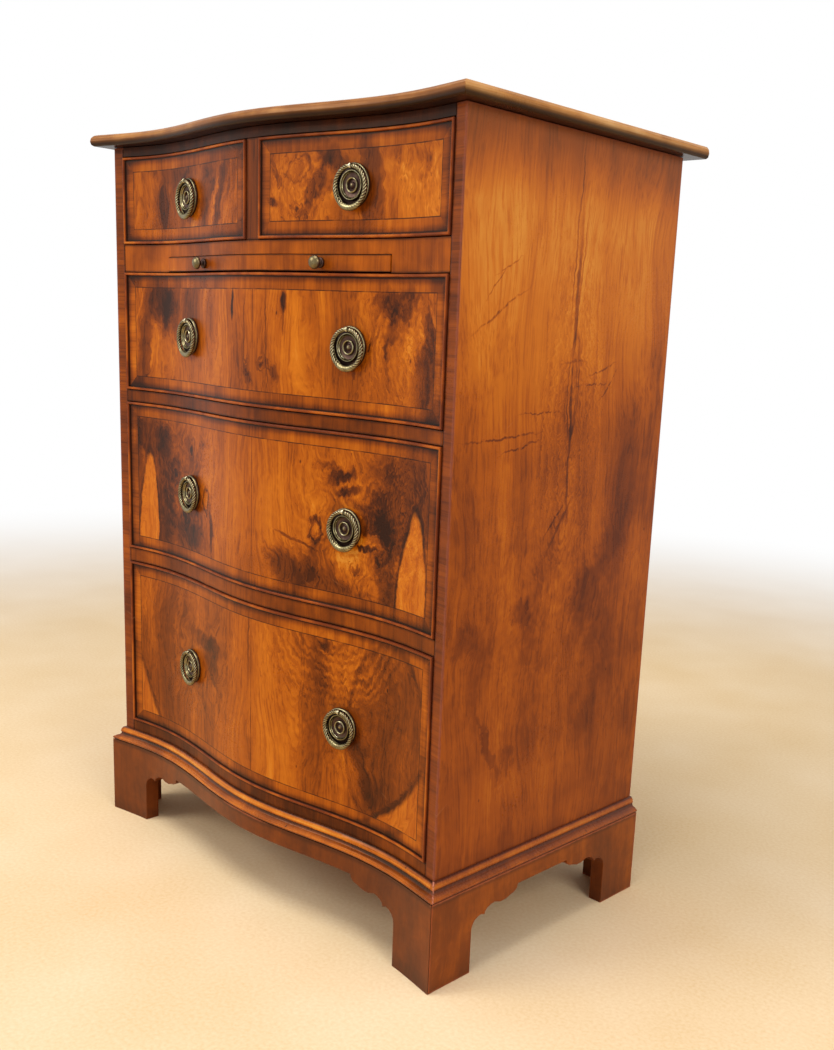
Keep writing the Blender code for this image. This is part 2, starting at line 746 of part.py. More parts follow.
def square_on(obj, x, z, proud, lift):
    """Turn a piece so that its Z stands square on the front at x, lifted off it."""
    turn = facing(x)
    out = Vector((math.sin(turn), -math.cos(turn), 0.0))
    obj.location = Vector((x, front_y(x, proud), z)) + out * lift
    obj.rotation_euler = (math.pi / 2, 0.0, turn)


def finished(turning, name, finish):
    """The mesh of a turned piece with what is joined to it, ready to be shared by its copies."""
    hide_cutter(turning)
    mesh = evaluated_mesh(turning)
    mesh.name = name
    mesh.materials.clear()
    mesh.materials.append(finish)
    mesh.shade_smooth()
    mesh.set_sharp_from_angle(angle=math.radians(40))
    return mesh


def plate_mesh():
    """The backplate with the ring's eye, and the stud and nut that hold it to the drawer front."""
    disc = turned("pull_plate_disc", plate_profile(), PLATE_STEPS)
    eye_radius = RING_WIRE + EYE_PLAY + EYE_WIRE
    place = (0.0, EYE_HEIGHT, ring_standoff())
    combine(disc, ring_mesh("pull_eye", eye_radius, EYE_WIRE, EYE_STEPS, math.pi / 2, place), "UNION")
    x = PULL_SPACING / 2
    turn = abs(facing(x))
    wood = (FRONT + DRAWER_BLOCK - front_y(x)) / math.cos(turn)
    seat = -SEAT_GAP - wood - NUT_RADIUS * math.tan(turn) - GLUE_GAP
    stud_end = seat - NUT_THICK - STUD_END
    combine(disc, rod("pull_stud", STUD_RADIUS, stud_end, MOAT_HEIGHT), "UNION")
    combine(disc, rod("pull_nut", NUT_RADIUS, seat - NUT_THICK, seat, sides=6), "UNION")
    return finished(disc, "pull_plate", BRASS["plate"])


def bail_mesh():
    """The ring, with its hinge at the origin."""
    bail = ring_mesh("pull_ring", RING_RADIUS, RING_WIRE, RING_STEPS, 0.0, (0.0, -RING_RADIUS, 0.0))
    return finished(bail, "pull_ring", BRASS["ring"])


def make_pull(name, x, z, front, empty, meshes):
    """A plate bolted through the drawer front, and its ring, whose origin is on its hinge."""
    plate, ring = (new_object(f"{name[0]}_pull_{kind}{name[1]}", meshes[kind]) for kind in ("plate", "ring"))
    square_on(plate, x, z, 0.0, SEAT_GAP)
    square_on(ring, x, z + EYE_HEIGHT, 0.0, SEAT_GAP + ring_standoff())
    hang(plate, empty)
    hang(ring, empty)
    bore = rod(f"{name[0]}_bore{name[1]}", STUD_RADIUS + GLUE_GAP, -DRAWER_BLOCK - THROUGH, THROUGH)
    square_on(bore, x, z, 0.0, 0.0)
    combine(front, bore, "DIFFERENCE")


def knob_profile():
    """(radius, height) of the turned knob, from its head down to its flange and spigot."""
    half = KNOB_HEAD_THICK / 2
    profile = arc((0.0, KNOB_LENGTH - half), KNOB_HEAD_RADIUS, half, 90, -60, 5)
    profile.append((KNOB_NECK_RADIUS, KNOB_LENGTH - KNOB_HEAD_THICK))
    spread = KNOB_FLANGE_RADIUS - KNOB_NECK_RADIUS
    profile += arc((KNOB_FLANGE_RADIUS, KNOB_FLANGE_THICK), spread, KNOB_FLANGE_THICK / 2, 180, 270, 2)
    profile.append((KNOB_FLANGE_RADIUS, 0.0))
    profile.append((KNOB_SPIGOT_RADIUS, 0.0))
    profile.append((KNOB_SPIGOT_RADIUS, -KNOB_SPIGOT_LENGTH))
    profile.append((0.0, -KNOB_SPIGOT_LENGTH))
    return profile


def make_slide():
    reach = SLIDE_WIDTH / 2
    back = BACK_FACE - SLIDE_BACK_ROOM
    outline = front_line(-reach, reach, SLIDE_PROUD) + [(reach, back), (-reach, back)]
    board = plank("brushing_slide", outline, "Z", SLIDE_BASE, SLIDE_BASE + SLIDE_THICK, YEW["slide"])
    middle = SLIDE_BASE + SLIDE_THICK / 2
    empty = anchor("slide", (0.0, FRONT, middle))
    hang(board, empty)
    mesh = finished(turned("knob_turning", knob_profile(), KNOB_STEPS), "slide_knob", BRASS["knob"])
    for side, hand in ((-1, "left"), (1, "right")):
        x = side * KNOB_SPACING / 2
        knob = new_object("slide_knob_" + hand, mesh)
        square_on(knob, x, middle, SLIDE_PROUD, GLUE_GAP)
        hang(knob, empty)
        depth = KNOB_SPIGOT_LENGTH + GLUE_GAP
        hole = rod("knob_hole_" + hand, KNOB_SPIGOT_RADIUS + GLUE_GAP, -depth, THROUGH, KNOB_STEPS)
        square_on(hole, x, middle, SLIDE_PROUD, 0.0)
        combine(board, hole, "DIFFERENCE")


def make_drawers():
    meshes = {"plate": plate_mesh(), "ring": bail_mesh()}
    half_pull = PULL_SPACING / 2
    gap = DIVIDER_THICK / 2
    shorts = (("left_short", -1), ("right_short", 1))
    for name, side in shorts:
        x = tuple(sorted((side * gap, side * INSIDE)))
        z = (SHORT_LEVEL, TOP_RAIL_LEVEL)
        front, empty = make_drawer(name, x, z)
        middle = (z[0] + z[1]) / 2 - SHORT_PULL_DROP
        make_pull((name, ""), side * half_pull, middle, front, empty, meshes)
    longs = (
        ("upper_long", UPPER_LEVEL, UPPER_OPENING, UPPER_PULL_DROP),
        ("middle_long", MIDDLE_LEVEL, MIDDLE_OPENING, MIDDLE_PULL_DROP),
        ("lower_long", LOWER_LEVEL, LOWER_OPENING, LOWER_PULL_DROP),
    )
    for name, level, opening, drop in longs:
        front, empty = make_drawer(name, (-INSIDE, INSIDE), (level, level + opening))
        middle = level + opening / 2 - drop
        for side, hand in ((-1, "_left"), (1, "_right")):
            make_pull((name, hand), side * half_pull, middle, front, empty, meshes)


make_top_board()
make_side_panels()
make_back_panel()
make_rails()
make_bottom_board()
make_slide_rail()
make_slide_bearer()
make_divider()
make_base_moulding()
make_plinth()
make_drawers()
make_slide()
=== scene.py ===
"""Looks of a serpentine chest of drawers in yew, with cockbeaded fronts, ring pulls and a brushing slide.

Metres, +Z up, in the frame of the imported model: the front faces -Y and the floor is at 0. Shader colours
are written as screen values from 0 to 255.
"""

import json
import math
from functools import partialmethod

import bmesh
import bpy
from mathutils import Matrix, Vector

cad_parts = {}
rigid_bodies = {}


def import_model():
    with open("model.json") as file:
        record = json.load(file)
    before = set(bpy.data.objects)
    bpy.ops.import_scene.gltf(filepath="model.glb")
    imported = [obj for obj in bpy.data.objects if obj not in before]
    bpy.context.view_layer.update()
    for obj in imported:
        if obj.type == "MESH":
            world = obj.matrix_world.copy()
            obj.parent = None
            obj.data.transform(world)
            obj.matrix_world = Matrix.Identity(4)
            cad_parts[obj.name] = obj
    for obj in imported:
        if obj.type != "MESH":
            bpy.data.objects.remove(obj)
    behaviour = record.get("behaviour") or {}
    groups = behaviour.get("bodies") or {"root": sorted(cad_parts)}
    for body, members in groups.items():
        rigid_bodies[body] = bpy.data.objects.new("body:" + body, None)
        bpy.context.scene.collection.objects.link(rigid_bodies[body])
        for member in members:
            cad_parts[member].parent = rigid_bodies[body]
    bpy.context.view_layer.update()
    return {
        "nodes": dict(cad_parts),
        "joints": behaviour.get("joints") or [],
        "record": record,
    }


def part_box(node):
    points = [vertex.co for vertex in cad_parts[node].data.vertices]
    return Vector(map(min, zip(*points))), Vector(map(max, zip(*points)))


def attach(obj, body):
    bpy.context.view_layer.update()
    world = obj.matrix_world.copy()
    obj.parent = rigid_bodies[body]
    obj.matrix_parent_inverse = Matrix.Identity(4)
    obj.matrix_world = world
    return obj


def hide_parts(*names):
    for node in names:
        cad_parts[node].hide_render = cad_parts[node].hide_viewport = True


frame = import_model()

# The serpentine front, read from the boards that follow it
SIDE_LOW, SIDE_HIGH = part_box("side_panel_right")
HALF = SIDE_HIGH.x
INSIDE = SIDE_LOW.x
FRONT = SIDE_LOW.y
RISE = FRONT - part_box("middle_rail")[0].y
DIP = 0.69
VENEER = 0.0012
UP = Vector((0.0, 0.0, 1.0))

# Layout of a drawer front, from its edge inwards
BEAD_WIDTH = 0.0030
GROOVE_WIDTH = 0.0006
BAND_END = 0.0155
STRINGING = 0.0007
BEAD_DEPTH = 0.0075

# How wide the top's crossbanding is
TOP_BAND = 0.032

# Ring pulls, in the hinge's own frame: X along the front, Y up, Z out
PLATE_RADIUS = 0.0192
MOAT_INSIDE = 0.0132
MOAT_OUTSIDE = 0.0175
EYE_DROP = 0.0160
STANDOFF = 0.0056
RING_RADIUS = 0.0176
RING_WIRE = 0.0022
ROPE_NOTCHES = 38
ROPE_DEPTH = 0.0011
FOOT_SWELL = 0.32
ROPE_TWIST = 4
NECK_WIRE = 0.0011
NECK_ARC = 7.0
NECK_END = 12.0
EYE_RADIUS = 0.0019
EYE_THICK = 0.0012
EYE_WIDTH = 0.0028
SHANK_RADIUS = 0.0013
STUD_RADIUS = 0.0020
NUT_RADIUS = 0.0045
NUT_THICK = 0.0030
STUD_END = 0.0020
PLATE_INSIDE = 0.0010

# The slide's knobs: their length with the spigot, and how far they stand out
KNOB_SPAN = 0.0225
KNOB_PROUD = 0.0125

# Camera
CAMERA_PLACE = (0.9392, -0.8295, 0.5966)
CAMERA_YAW = 42.283
CAMERA_PITCH = -12.775
CAMERA_ROLL = 2.968
CAMERA_LENS = 38.84
CAMERA_SHIFT = (-0.0690, 0.0641)


def tint(red, green, blue):
    """A screen colour as the linear values that shaders take."""

    def straight(value):
        share = value / 255
        return share / 12.92 if share <= 0.04045 else ((share + 0.055) / 1.055) ** 2.4

    return (straight(red), straight(green), straight(blue), 1.0)


def shades(*stops):
    """A ramp's stops from (place, red, green, blue) rows."""
    return tuple((place, tint(*colour)) for place, *colour in stops)


def linked(name, data):
    """A new object in the scene."""
    made = bpy.data.objects.new(name, data)
    bpy.context.scene.collection.objects.link(made)
    return made


def placed(origin, *axes):
    """The matrix that puts a thing at an origin with its own X, Y and Z along three axes."""
    return Matrix.Translation(origin) @ Matrix(axes).transposed().to_4x4()


# Shader wiring


class Wiring:
    """A node tree being wired, with a short call for each kind of node."""

    def __init__(self, tree):
        self.tree = tree

    def add(self, kind, **settings):
        made = self.tree.nodes.new(kind)
        for name, value in settings.items():
            setattr(made, name, value)
        return made

    def put(self, socket, value):
        if isinstance(value, bpy.types.NodeSocket):
            self.tree.links.new(value, socket)
        else:
            socket.default_value = value

    def run(self, kind, given, outlet=0, **settings):
        """Adds a node, puts values in its inlets by number or name, and returns one outlet."""
        made = self.add(kind, **settings)
        for inlet, value in given.items():
            self.put(made.inputs[inlet], value)
        return made.outputs[outlet]

    def maths(self, operation, *values, clamp=False):
        return self.run("ShaderNodeMath", dict(enumerate(values)), operation=operation, use_clamp=clamp)

    plus = partialmethod(maths, "ADD")
    minus = partialmethod(maths, "SUBTRACT")
    times = partialmethod(maths, "MULTIPLY")
    scaled = partialmethod(maths, "MULTIPLY_ADD")
    over = partialmethod(maths, "DIVIDE")
    power = partialmethod(maths, "POWER")
    size = partialmethod(maths, "ABSOLUTE")
    most = partialmethod(maths, "MAXIMUM")
    least = partialmethod(maths, "MINIMUM")
    above = partialmethod(maths, "GREATER_THAN")
    below = partialmethod(maths, "LESS_THAN")
    sine = partialmethod(maths, "SINE")
    cosine = partialmethod(maths, "COSINE")

    def swing(self, value, reach, base=0.0, clamp=False):
        """How far a noise is from its middle, times reach, on top of the base."""
        return self.scaled(self.minus(value, 0.5), reach, base, clamp=clamp)

    def vector(self, operation, *values):
        return self.run("ShaderNodeVectorMath", dict(enumerate(values)), operation=operation)

    def stretch(self, vector, amount):
        return self.run("ShaderNodeVectorMath", {0: vector, "Scale": amount}, operation="SCALE")

    def join(self, x, y, z):
        return self.run("ShaderNodeCombineXYZ", {0: x, 1: y, 2: z})

    def split(self, vector):
        made = self.add("ShaderNodeSeparateXYZ")
        self.put(made.inputs[0], vector)
        return made.outputs

    def noise(self, vector, scale, detail=2.0, roughness=0.5, distortion=0.0, outlet="Fac"):
        given = {"Vector": vector, "Scale": scale, "Detail": detail}
        smooth = {"Roughness": roughness, "Distortion": distortion}
        return self.run("ShaderNodeTexNoise", {**given, **smooth}, outlet)

    def drift(self, vector, scale, detail):
        """A noise with a value of its own on each axis, about zero."""
        return self.vector("SUBTRACT", self.noise(vector, scale, detail, outlet="Color"), (0.5, 0.5, 0.5))

    def ease(self, value, start, end, low=0.0, high=1.0):
        """Low up to start, high from end on, and a smooth step between them."""
        given = {"Value": value, "From Min": start, "From Max": end, "To Min": low, "To Max": high}
        return self.run("ShaderNodeMapRange", given, interpolation_type="SMOOTHSTEP")

    def near(self, value, reach, level=1.0):
        """The level at nought, easing to 0 at reach."""
        return self.ease(value, 0.0, reach, level, 0.0)

    def ramp(self, value, stops):
        made = self.add("ShaderNodeValToRGB")
        ladder = made.color_ramp.elements
        while len(ladder) < len(stops):
            ladder.new(0.5)
        for element, (place, colour) in zip(ladder, stops):
            element.position = place
            element.color = colour
        self.put(made.inputs[0], value)
        return made.outputs[0]

    def blend(self, amount, low, high):
        return self.run("ShaderNodeMix", {0: amount, 6: low, 7: high}, 2, data_type="RGBA")

    def between(self, amount, low, high):
        return self.run("ShaderNodeMix", {0: amount, 2: low, 3: high}, data_type="FLOAT")

    def fill(self, node, **given):
        """Puts values in a node's inlets by name, with _ for a space, and returns its outlets."""
        for name, value in given.items():
            self.put(node.inputs[name.replace("_", " ")], value)
        return node.outputs

    def group(self, tree, **given):
        return self.fill(self.add("ShaderNodeGroup", node_tree=tree), **given)

    def bump(self, height, distance, strength):
        return self.run("ShaderNodeBump", {"Height": height, "Distance": distance, "Strength": strength})


def new_group(name, vectors, floats, **outlets):
    """A shader group. Returns its tree, its wiring, its inlets and a call that sets an outlet."""
    tree = bpy.data.node_groups.new(name, "ShaderNodeTree")
    for labels, kind in ((vectors, "Vector"), (floats, "Float")):
        for label in labels:
            tree.interface.new_socket(label, in_out="INPUT", socket_type="NodeSocket" + kind)
    for label, kind in outlets.items():
        tree.interface.new_socket(label, in_out="OUTPUT", socket_type="NodeSocket" + kind)
    wiring = Wiring(tree)
    entry = wiring.add("NodeGroupInput")
    leave = wiring.add("NodeGroupOutput")

    def give(label, value):
        wiring.put(leave.inputs[label], value)

    return tree, wiring, entry.outputs, give


# Shader groups


def make_unbend():
    """Takes the front's curve out of a point: its Y becomes the depth behind the face."""
    tree, w, given, give = new_group("front curve taken out", ["Point"], [], Point="Vector")
    x, y, z = w.split(given["Point"])
    reach = w.over(w.size(x), HALF)
    swell = w.cosine(w.times(reach, math.pi / DIP))
    past = w.times(w.minus(reach, DIP), math.pi / 2 / (1 - DIP))
    hollow = w.times(w.cosine(past), -1.0)
    proud = w.between(w.above(reach, DIP), swell, hollow)
    depth = w.plus(w.minus(y, FRONT), w.times(proud, RISE))
    give("Point", w.join(x, depth, z))
    return tree


def make_grain():
    """Timber grain. Grain is (across, depth, along) in metres; Wander, Curl and Lift bend it by that much."""
    floats = ["Seed", "Wander", "Curl", "Lift", "Flame", "Lines"]
    tree, w, given, give = new_group("timber grain", ["Grain"], floats, Tone="Float", Fibre="Float")
    seed = given["Seed"]
    offset = w.join(w.times(seed, 0.37), w.times(seed, 0.71), seed)
    start = w.vector("ADD", given["Grain"], offset)
    across, depth, along = w.split(start)
    sway = w.stretch(w.drift(w.join(across, depth, w.times(along, 0.45)), 11, 1), given["Wander"])
    swirl = w.stretch(w.drift(w.join(across, depth, w.times(along, 0.75)), 46, 3), given["Curl"])
    bent = w.vector("ADD", start, w.vector("ADD", sway, swirl))
    across, depth, along = w.split(bent)
    across = w.plus(across, given["Lift"])
    flames = w.noise(w.join(across, depth, w.times(along, 0.16)), 24, 3, 0.55, 0.4)
    bands = w.noise(w.join(across, depth, w.times(along, 0.05)), 110, 3, 0.6)
    lines = w.noise(w.join(across, depth, w.times(along, 0.022)), 380, 3, 0.65)
    fibre = w.noise(w.join(across, depth, w.times(along, 0.03)), 1100, 2)
    mottle = w.noise(bent, 95, 3, 0.6)
    rings = w.noise(w.vector("ADD", bent, w.join(given["Lift"], 0, 0)), 24, 2)
    tone = w.swing(flames, given["Flame"])
    tone = w.swing(bands, w.times(given["Flame"], 0.5), tone)
    tone = w.minus(tone, w.times(w.ease(lines, 0.44, 0.72, -0.3, 1.0), given["Lines"]))
    tone = w.swing(fibre, w.times(given["Lines"], 0.8), tone)
    tone = w.swing(mottle, w.times(given["Curl"], 14.0), tone)
    tone = w.scaled(w.sine(w.times(rings, 56)), w.times(given["Curl"], 1.8), tone)
    give("Tone", tone)
    give("Fibre", fibre)
    return tree


def make_feather():
    """Moves a point, so that what is drawn on it has wavy sides and streaked ends, as flames in timber."""
    tree, w, given, give = new_group("feathered point", ["Point"], ["Sway", "Streak"], Point="Vector")
    point = given["Point"]
    moved = w.vector("ADD", point, w.stretch(w.drift(point, 30, 2), given["Sway"]))
    moved = w.vector("ADD", moved, w.stretch(w.drift(point, 140, 2), w.times(given["Sway"], 0.4)))
    x, y, z = w.split(point)
    streak = w.noise(w.join(x, y, w.times(z, 0.10)), 210, 2)
    give("Point", w.vector("ADD", moved, w.join(0.0, 0.0, w.swing(streak, given["Streak"]))))
    return tree


def make_patch():
    """A patch in X and Z: its soft mask, and its radius, which is 1 on its outline. Power 2 is an ellipse."""
    vectors, floats = ["Point", "Centre", "Reach"], ["Turn", "Power", "Soft"]
    tree, w, given, give = new_group("figure patch", vectors, floats, Mask="Float", Radius="Float")
    turned = w.add("ShaderNodeVectorRotate", rotation_type="Y_AXIS")
    turned = w.fill(turned, Vector=given["Point"], Center=given["Centre"], Angle=given["Turn"])[0]
    away = w.vector("DIVIDE", w.vector("SUBTRACT", turned, given["Centre"]), given["Reach"])
    x, _, z = w.split(w.vector("ABSOLUTE", away))
    total = w.plus(w.power(x, given["Power"]), w.power(z, given["Power"]))
    radius = w.power(total, w.over(1.0, given["Power"]))
    inner = w.minus(1.0, given["Soft"])
    outer = w.plus(1.0, given["Soft"])
    give("Mask", w.ease(radius, inner, outer, 1.0, 0.0))
    give("Radius", radius)
    return tree


def make_pips():
    """Small dark pips, the pin knots of yew. Share is how many of the cells hold one."""
    tree, w, given, give = new_group("pin knots", ["Point"], ["Pitch", "Share", "Size"], Mask="Float")
    x, y, z = w.split(given["Point"])
    place = w.vector("DIVIDE", w.join(x, y, w.times(z, 0.6)), given["Pitch"])
    cells = w.fill(w.add("ShaderNodeTexVoronoi"), Vector=place, Scale=1.0)
    held = w.below(w.split(cells["Color"])[0], given["Share"])
    spot = w.ease(cells["Distance"], w.times(given["Size"], 0.35), given["Size"], 1.0, 0.0)
    give("Mask", w.times(spot, held))
    return tree


def make_arris():
    """How near a point is to an arris of the box between Low and High: 1 on it, 0 from Width off."""
    tree, w, given, give = new_group("arris", ["Point", "Low", "High"], ["Width"], Mask="Float")
    from_low = w.vector("ABSOLUTE", w.vector("SUBTRACT", given["Point"], given["Low"]))
    from_high = w.vector("ABSOLUTE", w.vector("SUBTRACT", given["High"], given["Point"]))
    x, y, z = w.split(w.vector("MINIMUM", from_low, from_high))
    smaller = w.least(x, y)
    larger = w.most(x, y)
    second = w.most(smaller, w.least(larger, z))
    broken = w.noise(given["Point"], 170, 2)
    reach = w.times(given["Width"], w.times(broken, 2.0))
    give("Mask", w.near(second, reach))
    return tree


def make_polish():
    """An old waxed polish: fine scratches, smears and a little dust that change its shine."""
    outlets = {"Roughness": "Float", "Scratch": "Float", "Height": "Float"}
    tree, w, given, give = new_group("waxed polish", ["Point"], ["Shine", "Wear"], **outlets)
    smear = w.noise(given["Point"], 7, 3)
    speck = w.noise(given["Point"], 420, 2)
    askew = w.add("ShaderNodeVectorRotate", rotation_type="EULER_XYZ")
    x, y, z = w.split(w.fill(askew, Vector=given["Point"], Rotation=(0.7, 0.5, 1.1))[0])
    hair = w.noise(w.join(x, w.times(y, 0.06), w.times(z, 0.06)), 620, 1)
    where = w.ease(w.noise(given["Point"], 19, 1), 0.5, 0.72)
    scratch = w.times(w.ease(hair, 0.70, 0.76), w.times(where, given["Wear"]))
    rough = w.swing(smear, 0.16, given["Shine"])
    rough = w.swing(speck, 0.10, rough)
    give("Roughness", w.scaled(scratch, 0.15, rough, clamp=True))
    give("Scratch", scratch)
    give("Height", w.minus(w.times(speck, 0.3), scratch))
    return tree


def make_patina():
    """Old brass: bright on its crowns, brown in its hollows, with specks of grime."""
    outlets = {"Colour": "Color", "Roughness": "Float", "Height": "Float"}
    tree, w, given, give = new_group("brass patina", ["Point"], ["Crown"], **outlets)
    cloud = w.noise(given["Point"], 160, 3, 0.6)
    speck = w.noise(given["Point"], 1500, 2)
    level = w.swing(cloud, 0.55, given["Crown"])
    level = w.swing(speck, 0.25, level, clamp=True)
    stops = shades(
        (0.00, 38, 27, 25), (0.30, 80, 60, 53), (0.55, 110, 96, 66), (0.80, 156, 145, 106),
        (1.00, 214, 206, 180),
    )
    give("Colour", w.ramp(level, stops))
    give("Roughness", w.ease(level, 0.0, 1.0, 0.50, 0.24))
    give("Height", w.plus(w.times(cloud, 0.5), w.times(speck, 0.5)))
    return tree


UNBEND = make_unbend()
GRAIN = make_grain()
FEATHER = make_feather()
PATCH = make_patch()
PIPS = make_pips()
ARRIS = make_arris()
POLISH = make_polish()
PATINA = make_patina()


# Finishes

YEW_RAMP = shades(
    (0.00, 46, 20, 9), (0.22, 82, 36, 11), (0.45, 130, 61, 12), (0.65, 174, 88, 14), (0.84, 204, 115, 22),
    (1.00, 222, 146, 50),
)
SAP_RAMP = shades((0.00, 136, 60, 14), (0.40, 182, 92, 18), (0.70, 206, 116, 26), (1.00, 222, 144, 48))
OAK_RAMP = shades((0.00, 98, 68, 42), (0.50, 156, 118, 78), (1.00, 190, 154, 110))
SOFTWOOD_RAMP = shades((0.00, 92, 62, 38), (0.50, 146, 108, 70), (1.00, 178, 142, 98))
PLY_RAMP = shades((0.00, 134, 98, 62), (0.50, 178, 142, 98), (1.00, 202, 170, 126))
FADED_RAMP = shades((0.00, 72, 40, 20), (0.45, 142, 88, 40), (0.70, 186, 130, 70), (1.00, 216, 170, 112))
# Near-black for painted shade in grooves, at rail edges and under the top's edge, with some soiling
SHADE_AND_GRIME = tint(24, 11, 8)
STRINGING_TINT = tint(38, 18, 12)


def new_finish(name):
    """A material with its wiring, its surface shader and the object coordinates."""
    made = bpy.data.materials.new(name)
    made.use_nodes = True
    w = Wiring(made.node_tree)
    surface = made.node_tree.nodes["Principled BSDF"]
    point = w.add("ShaderNodeTexCoord").outputs["Object"]
    return made, w, surface, point


def unbent(w, point):
    """The point with the front's curve taken out, then its X, its depth behind the face and its Z."""
    flat = w.group(UNBEND, Point=point)["Point"]
    return flat, *w.split(flat)


def timber(w, place, seed, wander, flame, lines, curl=0.0, lift=0.0):
    """Timber grain at a place given as (across, depth, along)."""
    return w.group(
        GRAIN, Grain=w.join(*place), Seed=seed, Wander=wander, Curl=curl, Lift=lift, Flame=flame, Lines=lines
    )


def pips(w, point, pitch, share, size):
    return w.group(PIPS, Point=point, Pitch=pitch, Share=share, Size=size)["Mask"]


def arris_mask(w, point, low, high, width):
    return w.group(ARRIS, Point=point, Low=tuple(low), High=tuple(high), Width=width)["Mask"]


def feathered(w, point, sway, streak):
    return w.group(FEATHER, Point=point, Sway=sway, Streak=streak)["Point"]


def wax(w, surface, colour, point, pores, shine=0.32, wear=0.5, gloss=0.13):
    """The waxed surface over a timber's colour. Pores is the point as (across, depth, along) the grain."""
    polish = w.group(POLISH, Point=point, Shine=shine, Wear=wear)
    pale = w.blend(w.times(polish["Scratch"], 0.22), colour, tint(196, 140, 96))
    w.fill(surface, Base_Color=pale, Roughness=polish["Roughness"])
    w.fill(surface, Specular_IOR_Level=gloss, Specular_Tint=(1.0, 0.76, 0.52, 1.0))
    across, depth, along = w.split(pores)
    fibre = w.noise(w.join(across, depth, w.times(along, 0.03)), 1100, 2)
    height = w.plus(w.times(fibre, 0.5), w.times(polish["Height"], 0.5))
    w.fill(surface, Normal=w.bump(height, 0.00012, 0.6))


def outline(w, radius, soft):
    """A line on a patch's outline."""
    return w.near(w.size(w.minus(radius, 1.0)), soft)


def patched(w, point, smooth, figure):
    """The sum of a figure's patches, and its masks. Sapwood, slits, edges and scratches stay smooth."""
    shift = 0.0
    masks = {"sap": 0.0, "burr": 0.0, "scratch": 0.0}
    for kind, patches in figure.items():
        for x, z, wide, high, turn, strength, *rest in patches:
            soft, power = (*rest, *PATCH_USUAL[len(rest):])
            patch = w.group(
                PATCH,
                Point=smooth if kind in ("sap", "slit", "edge", "scratch") else point,
                Centre=(x / 1000, 0.0, z / 1000),
                Reach=(wide / 1000, 1.0, high / 1000),
                Turn=math.radians(-turn),
                Power=power,
                Soft=soft,
            )
            form, radius = patch["Mask"], patch["Radius"]
            if kind in masks:
                masks[kind] = w.most(masks[kind], w.times(form, strength))
                continue
            if kind in ("ring", "edge"):
                form = outline(w, radius, soft)
            elif kind == "knot":
                form = w.most(w.ease(radius, 0.15, 0.85, 1.0, 0.0), w.times(outline(w, radius, soft), 0.4))
            elif kind == "arcs":
                form = w.times(w.sine(w.times(radius, ARC_TURNS)), form)
            shift = w.scaled(form, strength, shift)
    return shift, masks


